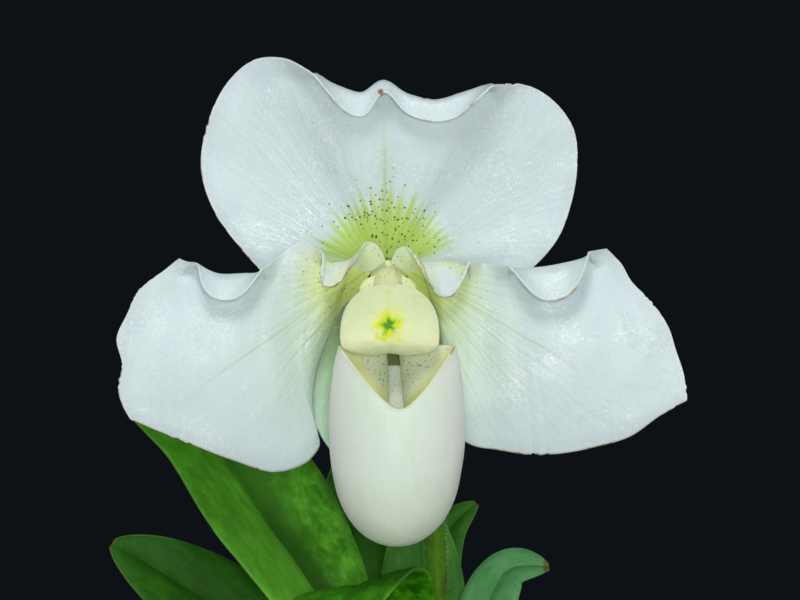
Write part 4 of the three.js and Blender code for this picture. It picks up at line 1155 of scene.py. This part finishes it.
def tongue():
    """The pale strip behind the slot between the lobes."""
    down = np.linspace(0, 1, TONGUE_GRID[0])[:, None]
    across = np.linspace(-1, 1, TONGUE_GRID[1])[None]
    x = POUCH["x"] - 0.3 + 0.35 * down + 2.3 * across
    f = 5.6 + 1.0 * down + 0.5 * (1 - across**2)
    grid = flower_point(x, f, lerp(-14.4, -21.3, down) + 0 * across)
    uv = np.stack(np.broadcast_arrays(across, down), axis=-1)
    return sheet(grid, LOBE_WALL, uv, rim=FAR, inside=1.0, lobe=0.5)


def build_lip():
    wall = pouch_wall()
    lobes = [side_lobe(-1), side_lobe(1), tongue()]
    fuzz = hair_material("lip_fuzz", (0.78, 0.82, 0.62), (0.86, 0.88, 0.76))

    def inner_back(place, normal):
        back = place[:, 1] > FLOWER[1] - POUCH["front"] + 2
        return (back & (place[:, 2] > FLOWER[2] - 30) & (normal[:, 1] < -0.2)).astype(float)

    roots, normals = scatter(wall, FLUFF, 81, inner_back)
    fluff = hairs(roots, normals, np.linspace(0.4, 0.9, FLUFF), 0.016, 82)
    add_piece("lip_pouch_fine", ["lip_pouch"], [wall, *lobes, fluff], [pouch_material(), fuzz])


# ---------------------------------------------------------------- column, ovary, bract, stem


def shield_outline(angle, scale):
    """A broad arch with a flatter lower edge, scaled about the middle of the shield."""
    up = np.cos(angle) > 0
    bent = np.where(up, 2 / 2.3, 2 / 3.4)
    x = SHIELD["half_width"] * np.sign(np.sin(angle)) * np.abs(np.sin(angle)) ** bent
    height = np.where(up, SHIELD["above"], SHIELD["below"])
    z = height * np.sign(np.cos(angle)) * np.abs(np.cos(angle)) ** bent
    notch = np.where(up, 0.0, 0.35 * np.exp(-((x / 1.6) ** 2)))
    return x * scale, (z + notch + SHIELD["widest"] - SHIELD["z"]) * scale


def shield_back(z):
    """How far the shield's lower edge bends back, at a height above its middle."""
    return 0.5 * smooth(-2.2, -5.2, z) ** 2


def shield():
    profile = [
        [0.02, -0.9], [0.3, -0.9], [0.7, -0.9], [0.95, -0.7], [1, 0], [0.93, 0.45], [0.75, 0.8],
        [0.5, 1.0], [0.22, 1.1], [0.02, 1.1],
    ]
    steps, sides, outline_steps = 60, 128, 4000
    rings = row_at(profile, np.linspace(0, len(profile) - 1, steps))
    # Even steps round the outline, although its corners are tight.
    fine = np.linspace(0, math.tau, outline_steps)
    outline = np.stack(shield_outline(fine, 1.0), axis=-1)
    length = np.concatenate([[0], np.cumsum(np.linalg.norm(np.diff(outline, axis=0), axis=1))])
    angle = -np.interp(np.linspace(0, length[-1], sides, endpoint=False), length, fine)
    scale, lift = rings[:, :1], rings[:, 1:]
    x, z = shield_outline(angle[None], scale)
    dome = SHIELD["dome"] * (1 - scale**2)
    f = SHIELD["front"] + dome + lift * SHIELD["edge"] - shield_back(z)
    front = (np.arange(steps) > steps // 2)[:, None]
    # A shallow hollow at the star and a faint groove above it.
    hollow = np.exp(-((x / 1.7) ** 2 + (z / 1.5) ** 2))
    groove = np.exp(-((x / 0.8) ** 2)) * smooth(0.8, 2.6, z) * smooth(6.2, 4.4, z)
    f = f - front * (0.22 * hollow + 0.12 * groove)
    f = f + front * 0.05 * waves(np.stack([x, z], axis=-1), 1.9, 91)
    rim = (1 - scale) * SHIELD["half_width"] + 0 * x
    points = flower_point(SHIELD["x"] + x, f, SHIELD["z"] + z)
    return ring_shell(points, edge=rim)


def build_column():
    stalk = Curve([
        flower_point(0, 0.6, -1), flower_point(0, 3, -1.5), flower_point(0.1, 7, -3.2),
        flower_point(0.2, 14.2, -6.7),
    ])
    style = Curve([flower_point(0, 5, -3), flower_point(0.1, 8.2, -8.2)])
    plate = shield()
    shells = [
        plate,
        tube(stalk, 60, 48, lambda t, a: 2.4 - t, edge=FAR),
        tube(style, 12, 28, lambda t, a: 1.2 + 0 * t, edge=FAR),
        ball(flower_point(0, 0.8, -0.6), [2.9, 0.8, 3.0], edge=FAR, segments=64, rings=30),
        ball(flower_point(0, 2.6, -2.2), [4.6, 1.2, 2.4], edge=FAR, segments=64, rings=30),
        ball(flower_point(0.1, 8.6, -8.8), [2.6, 2.6, 1.0], 32, edge=FAR),
        ball(flower_point(-3.0, 6.4, -4.6), [1.7, 1.5, 1.5], edge=FAR),
        ball(flower_point(3.0, 6.4, -4.6), [1.7, 1.5, 1.5], edge=FAR),
    ]
    random = np.random.default_rng(95)

    def near_rim(place, normal):
        x, z = place[:, 0] - FLOWER[0], place[:, 2] - FLOWER[2] - SHIELD["z"]
        share = np.hypot(x / SHIELD["half_width"], z / 5.6)
        return smooth(0.55, 1.0, share) * (place[:, 1] < FLOWER[1] - 13)

    fur = coat(plate, 520, (0.18, 0.42), 0.011, (96, 97), random, near_rim)

    def upper_stalk(place, normal):
        f = FLOWER[1] - place[:, 1]
        return ((f > 1.5) & (f < 8) & (normal[:, 2] > 0.35)).astype(float)

    tuft = coat(shells[1], 150, (0.4, 1.1), 0.026, (98, 99), random, upper_stalk, FRONT * 0.4)
    fuzz = hair_material("column_fuzz", (0.94, 0.97, 0.66), (0.98, 0.99, 0.84))
    add_piece("column_fine", ["column"], [*shells, fur, tuft], [column_material(), fuzz])


def build_stems():
    stem_curve = Curve([
        (0.2, 0, 79), (1.1, 0.8, 100), (0.8, 1.8, 117), (0.2, 1.6, 133), (-1.6, 0.2, 148.5),
    ])
    ovary_curve = Curve([
        (-1.7, 0.1, 149.2), (-3.4, -2, 158.5), (-5.6, -7.6, 166.6), (-7.1, -16.6, 170.5),
        (-7.4, -26.3, 171),
    ])
    hair = hair_material("stem_hair", (0.62, 0.62, 0.50), (0.82, 0.82, 0.74))

    stem = tube(stem_curve, 150, 30, lambda t, a: lerp(1.8, 1.5, t) * (1 + 0.02 * np.cos(5 * a)))
    random = np.random.default_rng(102)

    def above_crown(place, normal):
        return (place[:, 2] > CROWN["top"] + 2).astype(float)

    fur = coat(stem, 2000, (0.45, 1.15), 0.016, (101, 103), random, above_crown)
    skin = stem_material("stem_skin", (0.036, 0.16, 0.002), (0.11, 0.34, 0.005), (0.08, 0.06, 0.008))
    add_piece("flower_stem_fine", ["flower_stem"], [stem, fur], [skin, hair])

    def ribbed(t, a):
        swell = lerp(1.5, 2.6, smooth(0, 0.6, t)) - 0.7 * smooth(0.75, 1, t)
        return swell * (1 + 0.07 * np.cos(6 * a))

    pod = tube(ovary_curve, 110, 72, ribbed)
    fur = coat(pod, 2200, (0.35, 0.9), 0.018, (105, 106), random)
    skin = stem_material("ovary_skin", (0.16, 0.23, 0.05), (0.36, 0.44, 0.16), (0.14, 0.06, 0.04))
    add_piece("ovary_fine", ["ovary"], [pod, fur], [skin, hair])

    t = np.linspace(0, 1, 60)
    centre = ovary_curve.at(lerp(0.015, 0.42, t))[:, None]
    radius = lerp(2.3, 3.9, t)[:, None]
    half_angle = np.radians(lerp(165, 6, t**1.6))[:, None]
    angle = half_angle * np.linspace(-1, 1, 49)[None]
    back = radius * np.cos(angle)
    grid = centre + np.stack([radius * np.sin(angle), 0.9 * back, 0.5 * back], axis=-1)
    edge = np.minimum(reach(grid, 1), reach(grid, 1, True))
    uv = np.stack([angle / math.pi + 0.5, np.broadcast_to(t[:, None], angle.shape)], axis=-1)
    sheath = sheet(grid, 0.3 + 0.3 * smooth(0, 1.0, edge), uv)
    fur = coat(sheath, 500, (0.3, 0.8), 0.018, (108, 109), random)
    skin = stem_material("bract_skin", (0.17, 0.24, 0.06), (0.34, 0.42, 0.16), (0.17, 0.08, 0.05))
    add_piece("bract_fine", ["bract"], [sheath, fur], [skin, hair])


# ---------------------------------------------------------------- leaves

RINGS = {
    "inner": dict(radius=4.0, height=CROWN["top"] + GAP, half_arc=38.0),
    "outer": dict(radius=6.6, height=CROWN["shoulder"] + GAP, half_arc=30.0),
}
LEAF_STEPS, LEAF_SIDES = 145, 39
# Ring, azimuth of the foot, half width and fold; the midrib above the foot; where the upper side
# looks at a third, two thirds and the tip; then the dark and light greens, how strongly they
# differ, the millimetres of dried tip, and how strongly shade is painted beside its fold and towards
# its tip, and light on its other half.
LEAVES = {
    "leaf_1": (
        "outer", 173, 13.2, 26,
        [[-11.5, 0.2, 98], [-19.3, 1.5, 117.5], [-28.5, 7, 130.5], [-40, 14, 145.6], [-53.4, 20, 153.2]],
        [[0.58, -0.81, 0.15], [0.5, -0.84, 0.22], [0.3, -0.84, 0.45]],
        (0.040, 0.230, 0.006), (0.230, 0.780, 0.060), 0.9, 0.3, 0.9,
    ),
    "leaf_2": (
        "outer", 110, 9.5, 18,
        [[-9, 12, 93], [-22, 17.5, 104.2], [-38, 20, 114.9], [-47, 20.5, 120.4], [-55.4, 20, 125.8]],
        [[0.3, -0.9, 0.3], [0.25, -0.9, 0.35], [0.1, -0.85, 0.5]],
        (0.004, 0.060, 0.002), (0.030, 0.190, 0.008), 0.9, 0.3, 0.4,
    ),
    "leaf_3": (
        "inner", 262, 12, 3,
        [[-3, -7, 103], [-8.2, -12, 117], [-11.7, -20, 121.4], [-17, -32, 117], [-24, -43, 105]],
        [[0.2, 0.6, 0.7], [-0.26, 0.1, 1], [-0.3, -0.4, 0.9]],
        (0.008, 0.110, 0.001), (0.090, 0.460, 0.008), 0.95, 0.3, 0.0,
    ),
    "leaf_4": (
        "inner", 152, 7.5, 14,
        [[-6.8, 10.9, 98], [-11.5, 19.5, 112], [-14, 23, 128], [-16, 24.5, 140]],
        [[0.5, -0.85, 0.1], [0.3, -0.9, 0.2], [0.2, -0.9, 0.3]],
        (0.006, 0.100, 0.001), (0.030, 0.250, 0.004), 0.8, 0.3, 0.2,
    ),
    "leaf_5": (
        "inner", 72, 7.8, 10,
        [[0, 6.8, 100], [-1.5, 8.4, 114], [-1.9, 8.8, 125], [-1.9, 9, 134]],
        [[0, -1, 0.1], [0, -1, 0.1], [0, -1, 0.15]],
        (0.050, 0.220, 0.030), (0.130, 0.420, 0.080), 0.7, 0.3, 0.0,
    ),
    "leaf_6": (
        "outer", 48, 5.2, 18,
        [[3.6, 12.4, 97], [0.6, 17.4, 110], [0.9, 18.6, 121.5], [3.3, 18.8, 128.5], [7.6, 18.8, 132.9]],
        [[-0.4, -0.9, 0.1], [-0.2, -0.95, 0.3], [-0.1, -0.9, 0.4]],
        (0.016, 0.100, 0.006), (0.060, 0.260, 0.024), 0.8, 0.3, 0.2,
    ),
    "leaf_7": (
        "outer", -14, 5.8, 12,
        [[8.6, -1.4, 95], [8.9, -1, 109], [10, 0.6, 118.2], [13.2, 1.8, 122.7], [19.6, 2, 123.2]],
        [[-0.6, -0.75, 0.3], [-0.45, -0.8, 0.5], [-0.1, -0.8, 0.65]],
        (0.130, 0.460, 0.160), (0.320, 0.760, 0.400), 0.7, 0.9, 0.0,
    ),
    "leaf_8": (
        "outer", 284, 12.5, 16,
        [[6.5, -13, 94], [18, -21, 105], [35, -30, 110], [52, -38, 105], [64, -43, 96]],
        [[-0.2, 0.7, 0.7], [-0.1, 0.1, 1], [0.35, -0.2, 0.9]],
        (0.020, 0.180, 0.004), (0.110, 0.480, 0.020), 0.9, 0.3, 0.2,
    ),
}


def leaf_shell(ring, azimuth, half_width, fold, path, face, seed):
    place = RINGS[ring]
    radius, half_arc = place["radius"], place["half_arc"]
    out = np.array([math.cos(math.radians(azimuth)), math.sin(math.radians(azimuth)), 0])
    foot = out * radius + np.array([0, 0, place["height"]])
    curve = Curve([foot, foot + out * 0.3 + np.array([0, 0, 5]), *path])
    t = np.linspace(0, 1, LEAF_STEPS)
    middle, along = curve.at(t), curve.tangent(t)
    looks = np.array([-out, *[unit(np.array(p, float)) for p in face]])
    look = row_at(looks, 3 * t)
    up = unit(look - along * dot(along, look))
    across = np.cross(along, up)
    blade = smooth(0.06, 0.7, t)
    end = (1 - np.maximum(0, (t - 0.5) / 0.505) ** 2.6) ** 0.62
    half = (lerp(radius * math.radians(half_arc), half_width, blade) * end)[:, None]
    lift = np.radians(lerp(0, fold, blade))[:, None]
    bend = np.radians(lerp(half_arc, -0.5 * fold, blade))[:, None]
    bend = np.where(np.abs(bend) < 1e-4, 1e-4, bend)
    x = np.linspace(-1, 1, LEAF_SIDES)[None]
    s = np.abs(x)
    side = np.sign(x) * half * (np.sin(lift + bend * s) - np.sin(lift)) / bend
    raised = half * (np.cos(lift) - np.cos(lift + bend * s)) / bend
    distance = half * x
    # The midrib is a rounded groove, and each side of the blade swells gently.
    raised = raised - 0.45 * np.exp(-((distance / 0.9) ** 2)) * blade[:, None]
    raised = raised + 0.03 * half * np.sin(math.pi * s) * blade[:, None]
    y = t[:, None] * curve.length
    where = np.stack(np.broadcast_arrays(distance, y), axis=-1)
    raised = raised + 0.30 * waves(where, 22.0, seed) * s**1.5 * blade[:, None]
    raised = raised + 0.05 * waves(where, 5.0, seed + 1) * blade[:, None]
    grid = middle[:, None] + across[:, None] * side[..., None] + up[:, None] * raised[..., None]
    edge = np.minimum(half * (1 - s), (1 - t[:, None]) * curve.length + 0 * s)
    uv = np.stack(np.broadcast_arrays(distance / UV_REACH + 0.5, y / UV_REACH), axis=-1)
    thickness = np.minimum(1.3 - 0.5 * s, 0.35 + 0.9 * smooth(0, 1.6, edge))
    return sheet(grid, thickness, uv, edge=edge, tip=(1 - t)[:, None] * curve.length + 0 * s)


def build_leaves():
    for number, (name, row) in enumerate(LEAVES.items()):
        form, looks = row[:6], row[6:]
        shell = leaf_shell(*form, seed=200 + 10 * number)
        material = leaf_material(name + "_skin", *looks)
        add_piece(name + "_fine", [name], [shell], [material])


# ---------------------------------------------------------------- crown, potting mix, pot


def lathe(profile, segments, wobble=0.0, seed=0, **values):
    """A solid of revolution from (radius, height) pairs that start and end near the axis."""
    profile = np.asarray(profile, float)
    angle = np.linspace(0, math.tau, segments, endpoint=False)[None]
    r, z = profile[:, :1], profile[:, 1:]
    rings = np.stack(np.broadcast_arrays(r * np.cos(angle), r * np.sin(angle), z + 0 * angle), -1)
    if wobble:
        swell = wobble * waves(rings, 14.0, seed)[..., None] * (r[..., None] > 1)
        rings = rings + unit(rings * np.array([1, 1, 0])) * swell
    return ring_shell(rings, **values)


def rounded(profile, radius, steps=5):
    """A profile with small arcs in place of its inner corners."""
    points = [np.array(p, float) for p in profile]
    out = [points[0]]
    for before, corner, after in zip(points, points[1:], points[2:]):
        a, b = before - corner, after - corner
        cut = min(radius, 0.45 * np.linalg.norm(a), 0.45 * np.linalg.norm(b))
        start, end = corner + unit(a) * cut, corner + unit(b) * cut
        for t in np.linspace(0, 1, steps):
            out.append((1 - t) ** 2 * start + 2 * (1 - t) * t * corner + t**2 * end)
    return [*out, points[-1]]


def dense(profile, spacing):
    """A profile with points added so that none of its steps is longer than the spacing."""
    out = [np.array(profile[0], float)]
    for a, b in zip(profile, profile[1:]):
        a, b = np.array(a, float), np.array(b, float)
        count = max(1, math.ceil(np.linalg.norm(b - a) / spacing))
        out += [lerp(a, b, k / count) for k in range(1, count + 1)]
    return out


def pot_inside(z):
    return lerp(POT["foot"], POT["neck"], z / (POT["height"] - POT["band"])) - POT["wall"]


def cut_holes(piece, cutters):
    """Takes cutter objects out of a piece and removes them."""
    for cutter in cutters:
        made = piece.modifiers.new("cut", "BOOLEAN")
        made.object, made.operation, made.solver = cutter, "DIFFERENCE", "EXACT"
    graph = bpy.context.evaluated_depsgraph_get()
    mesh = bpy.data.meshes.new_from_object(piece.evaluated_get(graph), depsgraph=graph)
    piece.modifiers.clear()
    old, piece.data = piece.data, mesh
    bpy.data.meshes.remove(old)
    for cutter in cutters:
        bpy.data.objects.remove(cutter, do_unlink=True)


def build_pot():
    neck, top, floor = POT["height"] - POT["band"], POT["height"], POT["floor"]
    outline = [
        (NEAR_AXIS, 0), (POT["foot"] - 1, 0), (POT["foot"], 1), (POT["neck"], neck),
        (POT["rim"] - 1, neck), (POT["rim"], neck + 1), (POT["rim"], top - 1.5), (POT["rim"] - 1.5, top),
        (pot_inside(top) + 0.8, top), (pot_inside(top), top - 0.8), (pot_inside(floor), floor),
        (NEAR_AXIS, floor),
    ]
    shell = lathe(dense(rounded(outline, 1.2), 3.0), 150, wobble=0.12, seed=121)
    piece = add_piece("pot_fine", ["pot"], [shell], [clay_material()], sharp=40)
    cutters = []
    for k in range(DRAINS):
        angle = math.tau * (k + 0.5) / DRAINS
        bpy.ops.mesh.primitive_cylinder_add(
            vertices=48, radius=POT["drain_radius"] * MM, depth=(floor + 4) * MM,
            location=(POT["drain_circle"] * MM * math.cos(angle),
                      POT["drain_circle"] * MM * math.sin(angle), floor / 2 * MM))
        cutters.append(bpy.context.object)
    cut_holes(piece, cutters)
    piece.data.set_sharp_from_angle(angle=math.radians(40))


def chip(size, turns, centre, seed, tone):
    """A split piece of bark: a box with worn corners and rough faces."""
    n = 6
    cube = np.linspace(-1, 1, n)
    u, v = (grid.ravel() for grid in np.meshgrid(cube, cube, indexing="ij"))
    one = np.ones_like(u)
    faces3 = [
        (u, v, one), (v, u, -one), (one, u, v), (-one, v, u), (v, one, u), (u, -one, v),
    ]
    points = np.concatenate([np.stack(f, axis=1) for f in faces3])
    keys = np.round(points, 5)
    _, first, inverse = np.unique(keys, axis=0, return_index=True, return_inverse=True)
    index = np.arange(n * n).reshape(n, n)
    quad = np.stack([index[:-1, :-1], index[1:, :-1], index[1:, 1:], index[:-1, 1:]], -1).reshape(-1, 4)
    quads = inverse.ravel()[np.concatenate([quad + k * n * n for k in range(6)])]
    p = points[first]
    p = p / np.maximum(1.0, np.linalg.norm(p, ord=6, axis=1, keepdims=True))
    p = p * (1 + 0.10 * waves(p + seed, 1.3, seed)[:, None])
    p = p * (np.array(size) / 2)
    p[:, 2] += 0.16 * size[2] * waves(p[:, :2], 3.0, seed + 1)
    for axis, turn in enumerate(turns):
        c, s = math.cos(turn), math.sin(turn)
        i, j = (axis + 1) % 3, (axis + 2) % 3
        p[:, i], p[:, j] = c * p[:, i] - s * p[:, j], s * p[:, i] + c * p[:, j]
    return Shell(p + np.array(centre), [quads], tone=tone)


def repeatable(seed):
    """The same run of numbers from 0 to 1 as the CAD source draws."""
    state = seed
    while True:
        state = (state * 1664525 + 1013904223) % 4294967296
        yield state / 4294967296


def on_mix(distance, angle, lift):
    return (distance * math.cos(angle), distance * math.sin(angle), MIX_TOP + lift)


def build_mix():
    floor = POT["floor"] + GAP
    profile = [
        (NEAR_AXIS, floor), (pot_inside(floor) - GAP, floor), (pot_inside(MIX_TOP) - GAP, MIX_TOP),
    ]
    ground = lathe(dense([*profile, (10.2, MIX_TOP)], 2.2), 120, tone=0.15)
    heights = ground.points[:, 2] > MIX_TOP - 0.1
    bumps = waves(ground.points[:, :2], 4.0, 131) + 0.5 * waves(ground.points[:, :2], 1.8, 132)
    ground.points[:, 2] += heights * (0.45 * bumps - 0.6)
    shells = [ground]
    draw = repeatable(11)
    tones = np.random.default_rng(133)

    def between(low, high):
        return lerp(low, high, next(draw))

    for i in range(CHIPS):
        size = [between(7, 14), between(5, 10), between(2.6, 5)]
        turns = [between(-0.5, 0.5), between(-0.5, 0.5), between(0, math.pi)]
        distance, angle = 13 + 21 * math.sqrt((i + 0.5) / CHIPS), GOLDEN_ANGLE * i
        centre = on_mix(distance, angle, between(-0.6, 1))
        shells.append(chip(size, turns, centre, 300 + i, tones.uniform(0, 1)))
    for i in range(CRUMBS):
        distance, angle = 12 + 25.5 * math.sqrt((i + 0.5) / CRUMBS), GOLDEN_ANGLE * i + 1.1
        stone = tones.random() < 0.16
        size = tones.uniform(1.6, 3.4, 3) if stone else tones.uniform([3, 2.4, 1.4], [7, 4.6, 2.8])
        turns = tones.uniform(-0.6, 0.6, 3) + np.array([0, 0, tones.uniform(0, 3)])
        centre = on_mix(distance, angle, tones.uniform(-0.3, 1.3))
        shells.append(chip(size, turns, centre, 400 + i, 2.0 if stone else tones.uniform(0, 1)))
    add_piece("potting_mix_fine", ["potting_mix"], shells, [bark_material()], sharp=50)


def build_crown():
    c = CROWN
    outline = [
        (NEAR_AXIS, c["foot"]), (c["foot_radius"] * 0.8, c["foot"]), (c["foot_radius"], c["foot"] + 3),
        (c["foot_radius"], c["shoulder"] - 1), (c["foot_radius"] - 1, c["shoulder"]),
        (c["top_radius"], c["shoulder"]), (c["top_radius"], c["top"]), (2.4, c["top"]),
        (2.4, c["top"] - 4.6), (NEAR_AXIS, c["top"] - 4.6),
    ]
    shells = [lathe(dense(rounded(outline, 0.8), 0.8), 90, wobble=0.15, seed=141)]
    for i in range(ROOTS):
        base = math.tau * (i + 0.3) / ROOTS
        points = [(r * math.cos(base + s), r * math.sin(base + s), z)
                  for r, z, s in ((5, 70, 0), (13, 65, 0.15), (20, 55, 0.35), (23, 42, 0.6))]
        shells.append(tube(Curve(points), 60, 18, lambda t, a: 1.5 + 0.12 * np.sin(37 * t + 2 * a)))
    add_piece("crown_fine", ["crown"], shells, [crown_material()])


# ---------------------------------------------------------------- stage


# Lengths on the stage are in metres. Lamps: place, size and watts.
LAMPS = {
    "key": ((-0.05, -0.52, 0.66), 0.20, 2.0),
    "front": ((0.02, -0.85, 0.20), 0.12, 2.2),
    "right": ((0.60, -0.40, 0.14), 0.50, 1.45),
    "left": ((-0.60, -0.40, 0.14), 0.50, 1.15),
    "back": ((0.25, 0.75, 0.70), 0.60, 1.6),
}
LAMP_AIM = Vector((-0.006, -0.027, 0.165))
CAMERA_AIM = Vector((-0.0055, -0.027, 0.168))
CAMERA_AWAY = Vector((0, -0.56, 0))
CAMERA_LENS = 157.5
FLOOR_SIZE, FLOOR_LEVEL = 2.6, -0.0004
DUSK = (0.0042, 0.0060, 0.0080, 1)


def place_at(name, data, place, aim):
    made = bpy.data.objects.new(name, data)
    made.location = place
    made.rotation_euler = (aim - Vector(place)).to_track_quat("-Z", "Y").to_euler()
    bpy.context.scene.collection.objects.link(made)
    return made


def build_stage():
    bpy.ops.mesh.primitive_plane_add(size=FLOOR_SIZE, location=(0, 0, FLOOR_LEVEL))
    floor = bpy.context.object
    floor.name = "floor"
    shade = Shade("floor_paint", Roughness=0.85)
    shade.base(shade.noise(160.0, 3.0), (0.60, 0.60, 0.59), (0.64, 0.64, 0.63))
    floor.data.materials.append(shade.finish())

    world = bpy.data.worlds.new("studio")
    bpy.context.scene.world = world
    world.use_nodes = True
    world.node_tree.nodes["Background"].inputs["Color"].default_value = DUSK
    for name, (place, size, power) in LAMPS.items():
        lamp = bpy.data.lights.new(name, "AREA")
        lamp.size, lamp.energy = size, power
        place_at(name, lamp, place, LAMP_AIM).visible_glossy = name != "back"

    camera = bpy.data.cameras.new("camera")
    camera.sensor_width, camera.lens = 36.0, CAMERA_LENS
    made = place_at("camera", camera, CAMERA_AIM + CAMERA_AWAY, CAMERA_AIM)
    bpy.context.scene.camera = made
    bpy.context.scene.view_settings.view_transform = "Standard"


build_stage()
build_tepals()
build_lip()
build_column()
build_stems()
build_leaves()
build_crown()
build_mix()
build_pot()
